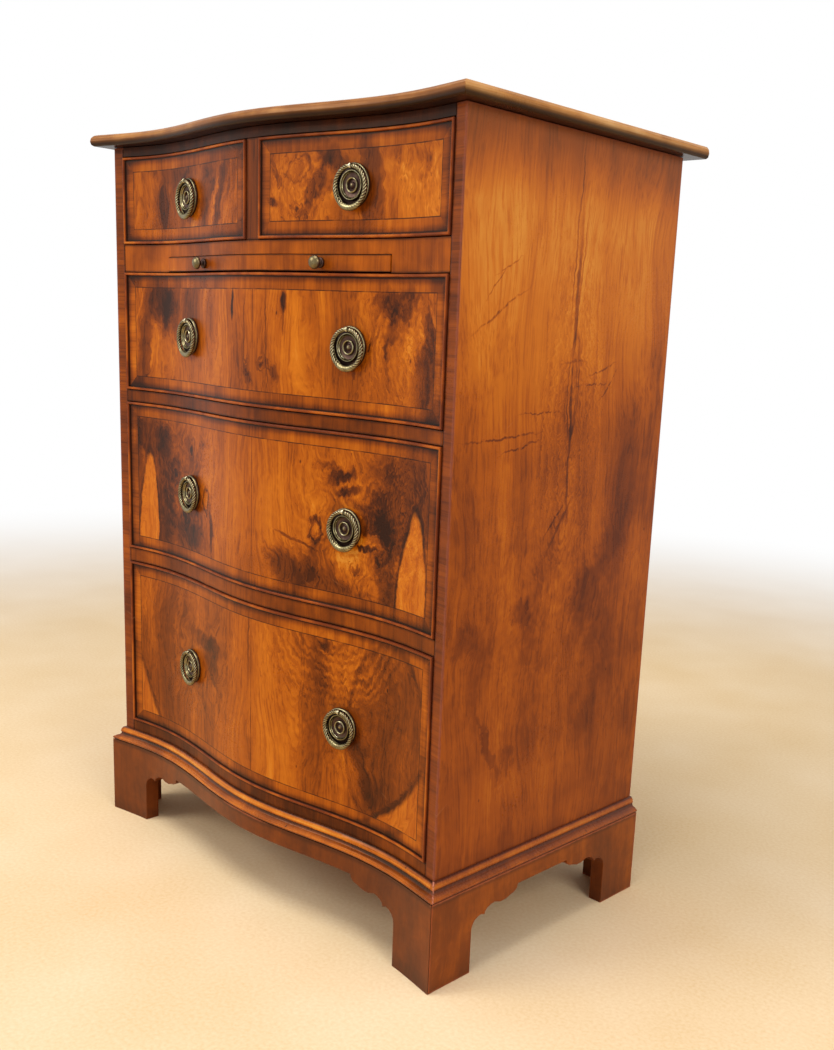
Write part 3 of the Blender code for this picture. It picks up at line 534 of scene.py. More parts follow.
# A figure's patches by kind: middle X and Z, reach X and Z in millimetres, clockwise turn in degrees,
# strength, then softness and power where they aren't the usual. X is from the chest's middle and Z from the
# floor. A ring and an edge are outlines, a knot has a heart too, a slit has smooth sides and arcs are
# growth rings.
PATCH_USUAL = (0.5, 2.0)
ARC_TURNS = 58.0
FIGURES = {
    "left_short": {
        "tone": (
            (-228, 720, 26, 44, 0, 0.16, 0.25, 2.6), (-150, 746, 46, 11, 0, -0.14, 0.6),
            (-92, 722, 15, 46, 22, -0.26), (-112, 705, 8, 30, 24, 0.16), (-60, 722, 8, 44, 18, -0.24),
            (-74, 712, 5, 30, 22, 0.18), (-38, 735, 10, 22, 14, -0.2), (-130, 730, 14, 34, 6, -0.14, 0.6),
        ),
        "slit": ((-186, 711, 9, 27, -4, -0.3, 0.16, 1.7),),
        "edge": ((-186, 711, 11, 31, -4, -0.12, 0.14, 1.7),),
        "sap": ((-17, 682, 22, 26, 0, 0.7, 0.1, 1.0),),
        "burr": ((-90, 722, 50, 40, 0, 0.35, 0.6),),
    },
    "right_short": {
        "tone": (
            (50, 720, 32, 34, 0, 0.16, 0.4, 2.4), (36, 732, 3, 16, -20, -0.26), (84, 716, 6, 34, 34, -0.22),
            (98, 704, 5, 26, 40, 0.16), (106, 742, 24, 9, 36, -0.34),
            (152, 712, 13, 44, -6, -0.24, 0.22, 3.0), (214, 722, 40, 38, 0, 0.14, 0.4, 2.4),
            (190, 744, 30, 8, 12, -0.12, 0.6),
        ),
        "ring": ((63, 734, 17, 13, 0, -0.16, 0.26, 1.5),),
        "knot": (
            (64, 736, 9, 6, 0, -0.18, 0.35, 1.8), (60, 699, 7, 8, 0, -0.34, 0.3),
            (76, 692, 4, 5, 0, -0.3, 0.3),
        ),
        "slit": ((30, 708, 9, 4, 24, -0.34),),
        "edge": ((143, 712, 7, 60, 0, -0.12, 0.12, 3.0),),
        "burr": ((58, 720, 44, 36, 0, 0.9), (205, 725, 40, 30, 0, 0.7, 0.6)),
    },
    "upper_long": {
        "tone": (
            (-196, 614, 24, 22, 14, -0.38, 0.55), (-186, 596, 5, 26, 16, -0.12),
            (-228, 552, 9, 52, 8, -0.28), (-160, 606, 60, 34, 8, -0.22, 0.7),
            (-208, 572, 12, 34, 12, 0.13, 0.6), (-170, 556, 9, 30, -6, 0.1, 0.6),
            (-30, 580, 9, 60, 0, -0.06, 0.7), (-8, 545, 6, 9, -20, -0.26), (32, 547, 6, 9, -30, -0.24),
            (56, 580, 26, 62, 0, 0.14, 0.6), (-58, 575, 20, 56, 0, 0.1, 0.7),
            (128, 560, 40, 40, 0, -0.1, 0.7), (190, 618, 28, 14, -8, -0.4, 0.55),
            (180, 590, 5, 26, 14, -0.26, 0.6), (234, 552, 9, 60, -3, -0.36, 0.45),
            (212, 592, 12, 26, 18, 0.24), (218, 560, 6, 40, -10, -0.18, 0.6),
        ),
        "sap": ((-236, 600, 1.5, 30, 20, 0.75, 0.3), (236, 606, 1.6, 12, -28, 0.85, 0.35)),
        "slit": (
            (-36, 613, 2.2, 14, 2, -0.62, 0.45), (45, 618, 4.4, 10, 4, -0.62, 0.45, 1.7),
            (45, 600, 1.2, 10, 0, -0.3, 0.6), (-14, 590, 0.9, 50, 2, -0.24), (21, 586, 0.9, 48, -2, -0.24),
        ),
        "knot": (
            (-11, 556, 7, 8, 8, -0.32, 0.45), (17, 557, 6, 7, 0, -0.4, 0.45), (153, 582, 5, 5, 0, -0.34),
        ),
        "arcs": ((196, 560, 60, 90, -16, -0.05, 0.4),),
        "burr": ((-200, 596, 44, 44, 0, 0.3, 0.6), (195, 598, 54, 44, 0, 0.4, 0.6)),
    },
    "middle_long": {
        "tone": (
            (-218, 466, 38, 22, 0, -0.34), (-192, 400, 18, 80, 0, -0.34, 0.5, 2.2),
            (-240, 410, 8, 90, 0, -0.22, 0.4), (-150, 395, 36, 80, 0, -0.24, 0.7),
            (-84, 378, 5, 24, -8, -0.4), (-140, 368, 34, 14, 10, -0.16, 0.6),
            (-40, 405, 30, 64, 0, 0.1, 0.7), (36, 410, 34, 70, 0, 0.12, 0.7), (126, 463, 14, 6, -16, -0.46),
            (112, 458, 6, 8, 30, -0.2), (134, 448, 16, 5, -14, -0.34), (104, 468, 16, 4, -10, -0.24, 0.6),
            (60, 364, 34, 18, 16, -0.36), (92, 380, 8, 22, 0, -0.22),
            (206, 444, 44, 48, 14, -0.34, 0.35, 2.2), (184, 376, 13, 60, -8, -0.34),
            (160, 424, 20, 12, 16, -0.26), (160, 404, 20, 8, 10, 0.22), (158, 396, 13, 4, -10, -0.5, 0.4),
            (132, 384, 16, 12, 10, 0.2), (120, 350, 50, 12, 10, -0.2, 0.6),
        ),
        "sap": ((-221, 352, 17, 94, 1, 1.0, 0.06, 1.7), (217, 346, 21, 90, 3, 1.0, 0.06, 1.6)),
        "edge": ((-221, 352, 19, 100, 1, -0.2, 0.1, 1.7), (217, 346, 23, 96, 3, -0.24, 0.1, 1.6)),
        "knot": (
            (-130, 459, 8, 14, 0, -0.4, 0.3), (-104, 467, 6, 5, 30, -0.4), (-168, 426, 9, 11, 0, -0.36, 0.3),
            (-148, 384, 8, 12, 0, -0.3, 0.4), (184, 410, 9, 10, 0, -0.3, 0.35),
            (168, 386, 8, 9, 0, -0.34, 0.35), (141, 372, 6, 7, 0, -0.34, 0.35),
        ),
        "ring": ((-97, 408, 6, 11, 0, -0.36, 0.35), (90, 408, 8, 12, 0, -0.34, 0.35)),
        "slit": ((66, 392, 26, 1.6, 12, -0.3),),
        "arcs": ((206, 440, 40, 60, 10, -0.05),),
        "burr": ((-150, 420, 64, 70, 0, 0.8), (155, 410, 78, 74, 0, 1.0)),
    },
    "lower_long": {
        "tone": (
            (-180, 268, 34, 44, 10, -0.15, 0.7), (-206, 180, 28, 60, -20, -0.18, 0.7),
            (-222, 262, 12, 46, 0, 0.12, 0.6), (-166, 262, 7, 36, 10, 0.1, 0.6), (-102, 253, 34, 9, 4, -0.2),
            (-84, 234, 14, 24, -8, -0.22, 0.45), (-20, 230, 30, 100, 0, 0.06, 0.7),
            (40, 215, 36, 110, 0, 0.14, 0.4, 3.0), (94, 225, 15, 60, 6, -0.1), (100, 262, 8, 28, -14, -0.08),
            (190, 218, 52, 90, 4, -0.17, 0.16, 2.3), (152, 272, 30, 26, -30, 0.12),
            (128, 230, 8, 34, -36, -0.13), (158, 176, 6, 36, -26, -0.1), (142, 172, 10, 34, -20, 0.22, 0.4),
            (172, 156, 30, 16, -10, -0.12, 0.6),
        ),
        "ring": ((-86, 190, 22, 30, -10, -0.14, 0.1, 1.5), (-84, 196, 13, 18, -10, -0.12, 0.14, 1.5)),
        "sap": ((-249, 122, 45, 92, 0, 0.85, 0.07, 0.95), (247, 121, 92, 82, 0, 0.9, 0.05, 0.8)),
        "edge": (
            (-249, 122, 50, 100, 0, -0.16, 0.1, 0.95), (76, 215, 2, 130, 1, -0.1, 0.6),
            (190, 216, 54, 92, 4, -0.2, 0.07, 2.3), (247, 121, 98, 90, 0, -0.22, 0.09, 0.8),
        ),
        "slit": ((-4, 275, 1.8, 44, 1, -0.2),),
        "knot": ((106, 293, 13, 10, 0, -0.34, 0.25, 1.6),),
        "arcs": ((118, 322, 96, 84, 0, 0.085, 0.3),),
        "burr": ((150, 220, 80, 84, 0, 0.3, 0.7), (-120, 225, 70, 60, 0, 0.4, 0.7)),
    },
}
# The level of each field, and how strong its flames are
FIELDS = {
    "left_short": (0.53, 0.9),
    "right_short": (0.55, 0.8),
    "upper_long": (0.62, 0.8),
    "middle_long": (0.60, 0.6),
    "lower_long": (0.57, 0.5),
}


def drawer_front_finish(name, seed):
    """Cockbead, crossbanding, stringing and a figured field, laid out from the front's own edges."""
    made, w, surface, point = new_finish("yew_drawer_front_" + name)
    low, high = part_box(name + "_drawer_front")
    middle = (low + high) / 2
    flat, x, depth, z = unbent(w, point)
    in_x = w.minus((high.x - low.x) / 2, w.size(w.minus(x, middle.x)))
    in_z = w.minus((high.z - low.z) / 2, w.size(w.minus(z, middle.z)))
    inset = w.least(in_x, in_z)
    run = w.between(w.below(in_x, in_z), x, z)

    book_matched = high.x - low.x > INSIDE
    across = w.size(x) if book_matched else x
    drawn = feathered(w, flat, 0.024, 0.016)
    smooth = feathered(w, flat, 0.009, 0.003)
    shift, masks = patched(w, drawn, smooth, FIGURES[name])
    level, flame = FIELDS[name]
    curl = w.scaled(masks["burr"], 0.030, 0.007)
    field = timber(w, (across, depth, z), seed, 0.08, flame, 0.14, curl, w.times(shift, 0.050))["Tone"]
    tone = w.plus(w.plus(field, shift), level)
    tone = w.scaled(pips(w, flat, 0.017, 0.22, 0.10), -0.40, tone)
    fine = w.times(pips(w, drawn, 0.006, 0.40, 0.17), w.plus(masks["burr"], 0.10))
    tone = w.scaled(fine, -0.38, tone)
    if book_matched:
        seam = w.ease(w.size(x), 0.0002, 0.0009, 1.0, 0.0)
        tone = w.scaled(seam, -0.22, tone)
    sapwood = w.ramp(w.scaled(field, 1.7, 0.50), SAP_RAMP)
    colour = w.blend(masks["sap"], w.ramp(tone, YEW_RAMP), sapwood)

    band = timber(w, (run, depth, inset), seed + 3.3, 0.012, 0.62, 0.09, 0.003)["Tone"]
    count = w.maths("FLOOR", w.scaled(run, 11.5, seed + 0.37))
    leaf = w.run("ShaderNodeTexWhiteNoise", {"W": count}, "Value", noise_dimensions="1D")
    band = w.swing(leaf, 0.16, band)
    # The crossbanding is darker next to the bead: painted shade, with some soiling
    band = w.plus(band, w.ease(inset, BEAD_WIDTH, BEAD_WIDTH + 0.008, 0.26, 0.56))
    band = w.scaled(w.least(shift, 0.0), 0.5, band)
    band = w.swing(w.noise(flat, 13, 3, 0.6), 0.7, band)
    # Darker towards the corners: painted shade, with some soiling
    band = w.plus(band, w.ease(w.plus(in_x, in_z), 0.010, 0.045, -0.16, 0.0))
    colour = w.blend(w.above(inset, BAND_END), w.ramp(band, YEW_RAMP), colour)
    line = w.ease(w.size(w.minus(inset, BAND_END)), STRINGING * 0.3, STRINGING, 1.0, 0.0)
    broken = w.ease(w.noise(flat, 60, 2), 0.30, 0.55, 0.35, 0.9)
    colour = w.blend(w.times(line, broken), colour, STRINGING_TINT)
    # Painted shade in the groove along the inner side of the cockbead, with some soiling
    crevice = w.ease(inset, BEAD_WIDTH + GROOVE_WIDTH, BEAD_WIDTH + 0.0022, 1.0, 0.0)
    colour = w.blend(w.times(crevice, 0.88), colour, SHADE_AND_GRIME)

    grain = timber(w, (inset, depth, run), seed + 7.1, 0.004, 0.6, 0.10)["Tone"]
    # The bead is lighter on its crown, wear and a painted highlight, and darker at its foot, painted shade
    crown = w.ease(depth, -0.0026, -0.0006, 0.60, 0.16)
    rubbed = w.ease(w.noise(flat, 15, 4, 0.65), 0.36, 0.64, -0.26, 0.20)
    bead = w.blend(0.30, w.ramp(w.plus(w.plus(grain, rubbed), crown), YEW_RAMP), tint(142, 66, 42))
    colour = w.blend(w.ease(inset, BEAD_WIDTH - 0.0003, BEAD_WIDTH + 0.0001, 1.0, 0.0), colour, bead)
    block = w.ramp(w.scaled(grain, 0.8, 0.16), OAK_RAMP)
    colour = w.blend(w.ease(depth, BEAD_DEPTH - 0.0004, BEAD_DEPTH + 0.0004), colour, block)
    wax(w, surface, colour, point, flat, 0.30)
    return made


def board_finish(name, node, along, level, seed, edge=None, ramp=YEW_RAMP, dark_edge_width=0.0026, flank=None):
    """One board, darker along its head and foot for a given width, and along its flanks if asked: painted
    shade where it meets the top and the drawers, with some soiling.

    With an edge level, its front edge is yew veneer with upright grain.
    """
    made, w, surface, point = new_finish(name)
    low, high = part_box(node)
    flat, x, depth, z = unbent(w, point)
    run = (z, depth, x) if along == "X" else (w.plus(x, depth), depth, z)
    grain = timber(w, run, seed, 0.02, 0.8, 0.12, 0.002)["Tone"]
    colour = w.ramp(w.plus(grain, level), ramp)
    if edge is not None:
        veneer = timber(w, (x, depth, z), seed + 2.2, 0.02, 0.5, 0.07, 0.004)["Tone"]
        veneer = w.swing(w.noise(flat, 15, 3, 0.6), 0.8, w.plus(veneer, edge))
        colour = w.blend(w.below(depth, VENEER), colour, w.ramp(veneer, YEW_RAMP))
    # Painted shade along the head and foot, where the board meets the top and the drawers, with some soiling
    foot = w.near(w.minus(z, low.z), dark_edge_width)
    head = w.near(w.minus(high.z, z), dark_edge_width)
    shade_and_dirt = w.most(foot, head)
    # Painted shadow along the flanks, beside the drawers that stand proud
    if flank is not None:
        off_flank = w.least(w.minus(x, low.x), w.minus(high.x, x))
        shade_and_dirt = w.most(shade_and_dirt, w.near(off_flank, flank))
    shade_and_dirt = w.times(shade_and_dirt, w.ease(w.noise(flat, 45, 2), 0.2, 0.6, 0.35, 0.8))
    colour = w.blend(w.times(shade_and_dirt, w.below(depth, VENEER * 2)), colour, SHADE_AND_GRIME)
    wax(w, surface, colour, point, w.join(*run), 0.34)
    return made


SIDE_FIGURE = {
    "tone": (
        (70, 640, 70, 120, 0, 0.1, 0.8), (215, 660, 62, 110, 0, 0.1, 0.8),
        (202, 350, 24, 30, 20, -0.28, 0.6), (226, 392, 13, 26, 30, -0.16, 0.6),
        (102, 343, 11, 11, 0, -0.22, 0.6), (28, 326, 20, 16, 0, -0.16, 0.7),
        (252, 480, 26, 60, 0, -0.16, 0.8), (130, 390, 8, 40, 24, -0.08, 0.6),
        (216, 236, 9, 46, 26, -0.14, 0.6), (66, 214, 5, 40, -30, -0.2), (92, 206, 10, 12, 0, -0.18, 0.6),
        (260, 200, 40, 80, 0, -0.12, 0.8),
    ),
    "burr": ((156, 590, 30, 90, 0, 0.3, 0.8), (130, 330, 110, 110, 0, 0.6, 0.8)),
    "slit": (
        (150, 690, 0.9, 70, 2, -0.34, 0.7), (155, 640, 2.2, 52, 1, -0.4, 0.7),
        (159, 650, 0.8, 60, 4, -0.26, 0.7), (157, 577, 14, 1.4, 0, -0.18, 0.6),
        (156, 500, 1.3, 60, -2, -0.32, 0.7), (146, 420, 1.4, 24, 34, -0.24, 0.7),
    ),
    "edge": ((156, 554, 8, 46, 1, -0.24, 0.16), (157, 546, 4, 34, 1, -0.2, 0.26)),
    "arcs": ((157, 500, 40, 150, 1, -0.06, 0.6),),
    "scratch": (
        (52, 617, 32, 0.9, -32, 1.0, 0.7), (63, 509, 40, 0.9, -3, 1.0, 0.7),
        (88, 500, 22, 0.9, -12, 1.0, 0.7), (200, 570, 17, 0.8, -18, 1.0, 0.7),
        (210, 556, 15, 0.8, -44, 1.0, 0.7), (140, 428, 18, 0.9, -46, 1.0, 0.7),
        (184, 556, 20, 0.7, -8, 1.0, 0.7), (110, 530, 22, 0.7, -4, 1.0, 0.7),
        (46, 640, 16, 0.6, -50, 1.0, 0.7), (60, 655, 14, 0.6, -30, 1.0, 0.7),
    ),
}
# The left side's figure is turned about, as on the next board of the same log. It has no scratches
LEFT_MIRROR = 0.31


def side_finish(name, node, hand):
    """A solid side: grain upright, a shake and flame high in the middle, old scratches and smudges."""
    made, w, surface, point = new_finish(name)
    low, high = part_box(node)
    x, y, z = w.split(point)
    _, _, depth, _ = unbent(w, point)
    run = w.minus(y, FRONT)
    face = w.join(run if hand == 0.0 else w.minus(LEFT_MIRROR, run), hand, z)
    figure = {kind: rows for kind, rows in SIDE_FIGURE.items() if kind != "scratch" or hand == 0.0}
    shift, masks = patched(w, feathered(w, face, 0.034, 0.03), feathered(w, face, 0.008, 0.004), figure)
    curl = w.scaled(masks["burr"], 0.018, 0.003)
    grain = timber(w, (run, x, z), 4.4 + hand, 0.05, 0.55, 0.13, curl, w.times(shift, 0.030))["Tone"]
    tone = w.plus(w.plus(grain, shift), w.ease(z, 0.42, 0.72, 0.54, 0.80))
    tone = w.scaled(pips(w, face, 0.026, 0.30, 0.06), -0.35, tone)
    dashed = w.ease(w.noise(face, 190, 2), 0.36, 0.52, 0.15, 1.0)
    tone = w.scaled(w.times(masks["scratch"], dashed), -0.36, tone)
    shadow = w.near(w.minus(high.z, z), 0.075, -0.46)
    foot = w.near(w.minus(z, low.z), 0.05, -0.12)
    tone = w.plus(tone, w.plus(shadow, foot))
    tone = w.swing(w.noise(face, 15, 3, 0.6), w.ease(z, 0.30, 0.62, 0.62, 0.22), tone)
    edge = timber(w, (z, depth, x), 9.0 + hand, 0.004, 0.8, 0.14)["Tone"]
    on_edge = w.below(depth, VENEER)
    colour = w.ramp(w.between(on_edge, tone, w.plus(edge, 0.42)), YEW_RAMP)
    colour = w.blend(w.ease(z, 0.10, 0.70, 0.38, 0.06), colour, tint(126, 60, 38))
    # The upper side is paled towards a warm grey: a painted sheen, the reflection of a pale room
    painted_sheen = w.times(w.ease(z, 0.50, 0.74, 0.0, 0.20), w.above(depth, VENEER))
    colour = w.blend(painted_sheen, colour, tint(190, 122, 78))
    # A dark line on the front edge beside the inner face: painted shade where the side meets the drawers
    shade_and_dirt = w.near(w.minus(w.size(x), INSIDE), 0.003, 0.8)
    colour = w.blend(w.times(shade_and_dirt, on_edge), colour, SHADE_AND_GRIME)
    # Paler arrises: wear with a painted highlight
    colour = w.blend(w.times(arris_mask(w, point, low, high, 0.0030), 0.55), colour, tint(146, 84, 70))
    wax(w, surface, colour, point, face, 0.30, 0.7)
    return made


def top_finish():
    """The veneered top: crossbanding and stringing round a book-matched field, and a solid moulded edge."""
    made, w, surface, point = new_finish("yew_top")
    low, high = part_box("top_board")
    x, y, z = w.split(point)
    _, _, depth, _ = unbent(w, point)
    from_end = w.minus(high.x, w.size(x))
    in_y = w.least(w.plus(depth, high.x - HALF), w.minus(high.y, y))
    inset = w.least(in_y, from_end)
    end_band = w.below(from_end, in_y)
    run = w.between(end_band, x, y)
    field = timber(w, (w.size(x), z, y), 12.6, 0.05, 0.9, 0.12, 0.006)["Tone"]
    knots = pips(w, w.join(w.size(x), 0.0, y), 0.02, 0.2, 0.1)
    field = w.scaled(knots, -0.35, w.plus(field, 0.62))
    band = timber(w, (run, z, inset), 15.1, 0.004, 0.7, 0.2)["Tone"]
    tone = w.between(w.above(inset, TOP_BAND), w.plus(band, 0.52), field)
    line = w.ease(w.size(w.minus(inset, TOP_BAND)), 0.0002, 0.0007, 0.9, 0.0)
    colour = w.blend(line, w.ramp(tone, YEW_RAMP), STRINGING_TINT)
    edge = timber(w, (z, inset, run), 2.9, 0.006, 0.7, 0.16)["Tone"]
    # The edge is paler at the ends than at the front: a painted highlight on the ends
    edge = w.swing(w.noise(point, 26, 3, 0.6), 0.6, w.plus(edge, w.between(end_band, 0.46, 0.68)))
    colour = w.blend(w.ease(inset, 0.0046, 0.0060, 1.0, 0.0), colour, w.ramp(edge, FADED_RAMP))
    # The lower part of the moulded edge is near-black: painted shade on its underside
    under = w.ease(z, low.z + 0.0018, low.z + 0.0080, 1.0, 0.0)
    colour = w.blend(w.times(under, 0.94), colour, SHADE_AND_GRIME)
    wax(w, surface, colour, point, w.join(x, z, y), 0.30, 0.8)
    return made


# Painted light and shade of the base moulding at shares of its height: bead, cove, quirk and ovolo, lit on
# the round members and shaded in the cove and quirks
MOULDING_SHADING = (
    (0.00, 0.00), (0.07, 0.38), (0.18, 0.64), (0.27, 0.52), (0.36, 0.30), (0.44, 0.06), (0.53, 0.00),
    (0.60, 0.56), (0.74, 0.86), (0.88, 0.64), (0.96, 0.08), (1.00, 0.00),
)


def moulding_finish():
    """The base moulding: orange, with painted light on its round members and painted shade in its cove and
    quirks.
    """
    made, w, surface, point = new_finish("yew_moulding")
    low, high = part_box("base_moulding")
    x, y, z = w.split(point)
    _, _, depth, _ = unbent(w, point)
    on_side = w.above(w.size(x), HALF)
    run = w.between(on_side, x, y)
    grain = timber(w, (z, depth, run), 6.7, 0.006, 0.7, 0.16)["Tone"]
    share = w.over(w.minus(z, low.z), high.z - low.z)
    level = w.ramp(share, tuple((place, (value, value, value, 1.0)) for place, value in MOULDING_SHADING))
    tone = w.times(grain, w.between(on_side, 1.0, 0.4))
    tone = w.scaled(level, w.between(on_side, 1.0, 0.90), tone)
    tone = w.plus(tone, w.between(on_side, 0.06, 0.04))
    tone = w.swing(w.noise(point, 24, 3, 0.6), 0.7, tone)
    tone = w.scaled(pips(w, w.join(run, 0.0, z), 0.006, 0.36, 0.15), -0.5, tone)
    colour = w.blend(w.times(on_side, 0.34), w.ramp(tone, YEW_RAMP), tint(112, 44, 26))
    # A pale line at the mitre corner: wear with a painted highlight
    off_mitre = w.size(w.plus(w.minus(w.size(x), HALF), w.minus(y, FRONT)))
    mitre = w.ease(off_mitre, 0.0003, 0.0016, 1.0, 0.0)
    rubbed = w.times(mitre, w.ease(w.noise(point, 260, 2), 0.40, 0.60, 0.2, 0.9))
    colour = w.blend(rubbed, colour, tint(206, 132, 108))
    wax(w, surface, colour, point, w.join(z, depth, run), 0.26, 0.5, 0.32)
    return made


def plinth_finish(name, node, seed, level):
    """Red-brown plinth with upright grain, paler at its arrises from wear and a painted highlight, with a
    painted shadow under the moulding.
    """
    made, w, surface, point = new_finish(name)
    low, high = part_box(node)
    x, y, z = w.split(point)
    flat, _, depth, _ = unbent(w, point)
    grain = timber(w, (w.plus(x, y), depth, z), seed, 0.05, 0.5, 0.05, 0.010)["Tone"]
    # Painted shadow of the moulding along the head, and darker towards the floor at the foot
    head = w.near(w.minus(high.z, z), 0.006, -0.36)
    foot = w.near(z, 0.02, -0.14)
    tone = w.plus(w.plus(grain, level), w.plus(head, foot))
    tone = w.swing(w.noise(point, 17, 3, 0.6), 0.55, tone)
    colour = w.blend(0.35, w.ramp(tone, YEW_RAMP), tint(104, 45, 18))
    # Paler arrises: wear with a painted highlight
    colour = w.blend(w.times(arris_mask(w, point, low, high, 0.0024), 0.7), colour, tint(176, 92, 58))
    wax(w, surface, colour, point, flat, 0.32, 0.8, 0.28)
    return made


def plain_timber(name, ramp, along, level=0.54, flame=0.40, lines=0.18):
    """Unpolished timber of the drawers' insides and the back. Along is the axis that the grain follows."""
    made, w, surface, point = new_finish(name)
    x, y, z = w.split(point)
    across, depth, run = {"X": (y, z, x), "Y": (z, x, y), "Z": (x, y, z)}[along]
    grain = timber(w, (w.plus(across, depth), depth, run), 8.2, 0.03, flame, lines)
    grubby = w.ease(w.noise(point, 16, 3), 0.45, 0.75, 0.0, 0.35)
    colour = w.blend(grubby, w.ramp(w.plus(grain["Tone"], level), ramp), tint(92, 66, 44))
    w.fill(surface, Base_Color=colour, Roughness=w.scaled(grain["Fibre"], 0.2, 0.52), Specular_IOR_Level=0.2)
    w.fill(surface, Normal=w.bump(grain["Fibre"], 0.0002, 0.6))
    return made


def brass_finish(name):
    """Antique brass that reads how proud each point is from the mesh's crown attribute."""
    made, w, surface, point = new_finish(name)
    crown = w.add("ShaderNodeAttribute", attribute_name="crown").outputs["Fac"]
    patina = w.group(PATINA, Point=point, Crown=crown)
    w.fill(surface, Base_Color=patina["Colour"], Roughness=patina["Roughness"], Metallic=1.0)
    w.fill(surface, Normal=w.bump(patina["Height"], 0.00008, 0.5))
    return made


def stand_in(mesh, body, node):
    """A piece that rides on a body in place of a node."""
    piece = linked(mesh.name, mesh)
    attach(piece, body)
    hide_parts(node)
    return piece


# Wooden pieces: each board's own mesh, welded and with eased arrises


def eased(node, finish, arris=0.0004, segments=2):
    """A board that stands for its node, with the arrises that hand planing and wear leave."""
    mesh = frame["nodes"][node].data.copy()
    mesh.name = node + "_eased"
    if "custom_normal" in mesh.attributes:
        mesh.attributes.remove(mesh.attributes["custom_normal"])
    work = bmesh.new()
    work.from_mesh(mesh)
    bmesh.ops.remove_doubles(work, verts=work.verts, dist=0.00001)
    bmesh.ops.dissolve_limit(work, angle_limit=math.radians(0.2), verts=work.verts, edges=work.edges)
    work.to_mesh(mesh)
    work.free()
    mesh.materials.clear()
    mesh.materials.append(finish)
    mesh.shade_smooth()
    body = next(name for name, nodes in frame["record"]["behaviour"]["bodies"].items() if node in nodes)
    bevel = stand_in(mesh, body, node).modifiers.new("eased arrises", "BEVEL")
    bevel.width = arris
    bevel.segments = segments
    bevel.limit_method = "ANGLE"
    bevel.angle_limit = math.radians(24)
    bevel.harden_normals = True


def dress_carcase():
    eased("top_board", top_finish(), 0.0005)
    for hand, name in ((0.0, "right"), (0.7, "left")):
        node = "side_panel_" + name
        eased(node, side_finish("yew_side_" + name, node, hand), 0.0006)
    rails = (
        # The top rail's dark tone is partly its finish and partly painted shadow of the top; its wide dark
        # band under the top is painted shadow
        ("top_rail", "X", 0.24, 1.1, 0.24, YEW_RAMP, 0.014),
        ("upper_rail", "X", 0.50, 2.3, 0.38, SOFTWOOD_RAMP),
        ("middle_rail", "X", 0.50, 5.1, 0.44, SOFTWOOD_RAMP),
        ("bottom_board", "X", 0.50, 6.6, 0.32, SOFTWOOD_RAMP),
        ("slide_rail", "X", 0.50, 7.9, 0.54, SOFTWOOD_RAMP),
        # The divider's dark flanks are painted shadow beside the drawers
        ("short_drawer_divider", "Z", 0.38, 9.4, None, YEW_RAMP, 0.0026, 0.005),
    )
    for node, *given in rails:
        eased(node, board_finish("yew_" + node, node, *given))
    slide = board_finish("yew_slide", "brushing_slide", "X", 0.52, 3.7, 0.50, YEW_RAMP, 0.0016)
    eased("brushing_slide", slide)
    eased("base_moulding", moulding_finish(), 0.0002, 1)
    plinths = (
        ("plinth_front", 1.7, 0.36, 0.0007),
        ("plinth_left", 3.8, 0.45, 0.0007),
        ("plinth_right", 5.9, 0.45, 0.0007),
        ("plinth_back", 8.8, 0.36, 0.0005),
    )
    for node, seed, level, arris in plinths:
        eased(node, plinth_finish("yew_" + node, node, seed, level), arris)
    eased("back_panel", plain_timber("softwood_back_panel", SOFTWOOD_RAMP, "Z", 0.46))
    eased("slide_bearer", plain_timber("softwood_dust_board", SOFTWOOD_RAMP, "X"))


DRAWERS = ("left_short", "right_short", "upper_long", "middle_long", "lower_long")


def dress_drawers():
    oak_side = plain_timber("oak_drawer_side", OAK_RAMP, "Y")
    oak_back = plain_timber("oak_drawer_back", OAK_RAMP, "X")
    ply = plain_timber("ply_drawer_bottom", PLY_RAMP, "X", 0.55, 0.6, 0.2)
    for i, name in enumerate(DRAWERS):
        front = drawer_front_finish(name, 1.3 + 2.7 * i)
        eased(name + "_drawer_front", front, 0.00045, 3)
        eased(name + "_drawer_side_left", oak_side, 0.0003, 1)
        eased(name + "_drawer_side_right", oak_side, 0.0003, 1)
        eased(name + "_drawer_back", oak_back, 0.0004, 1)
        eased(name + "_drawer_bottom", ply, 0.0003, 1)


# Brass pieces


def spun(work, geometry, axis, steps):
    """A bmesh whose profile is spun once round an axis through the origin, with its seam welded."""
    bmesh.ops.spin(
        work, geom=geometry, cent=(0, 0, 0), axis=axis, angle=math.tau, steps=steps, use_merge=True
    )
    bmesh.ops.remove_doubles(work, verts=work.verts, dist=0.000004)
    bmesh.ops.recalc_face_normals(work, faces=work.faces)
    return work


def turned_piece(profile, steps=72):
    """A bmesh turned about Z from (radius, height) points, top first and closed on the axis."""
    work = bmesh.new()
    points = [work.verts.new((radius, 0.0, height)) for radius, height in profile]
    edges = [work.edges.new(pair) for pair in zip(points, points[1:])]
    return spun(work, points + edges, (0, 0, 1), steps)


def rounded(radius, width, low, high, steps=6):
    """A rounded ridge out to radius, as points of a turned profile."""
    half = width / 2
    points = []
    for i in range(steps + 1):
        angle = math.pi * (1 - i / steps)
        points.append((radius - half + half * math.cos(angle), low + (high - low) * math.sin(angle)))
    return points


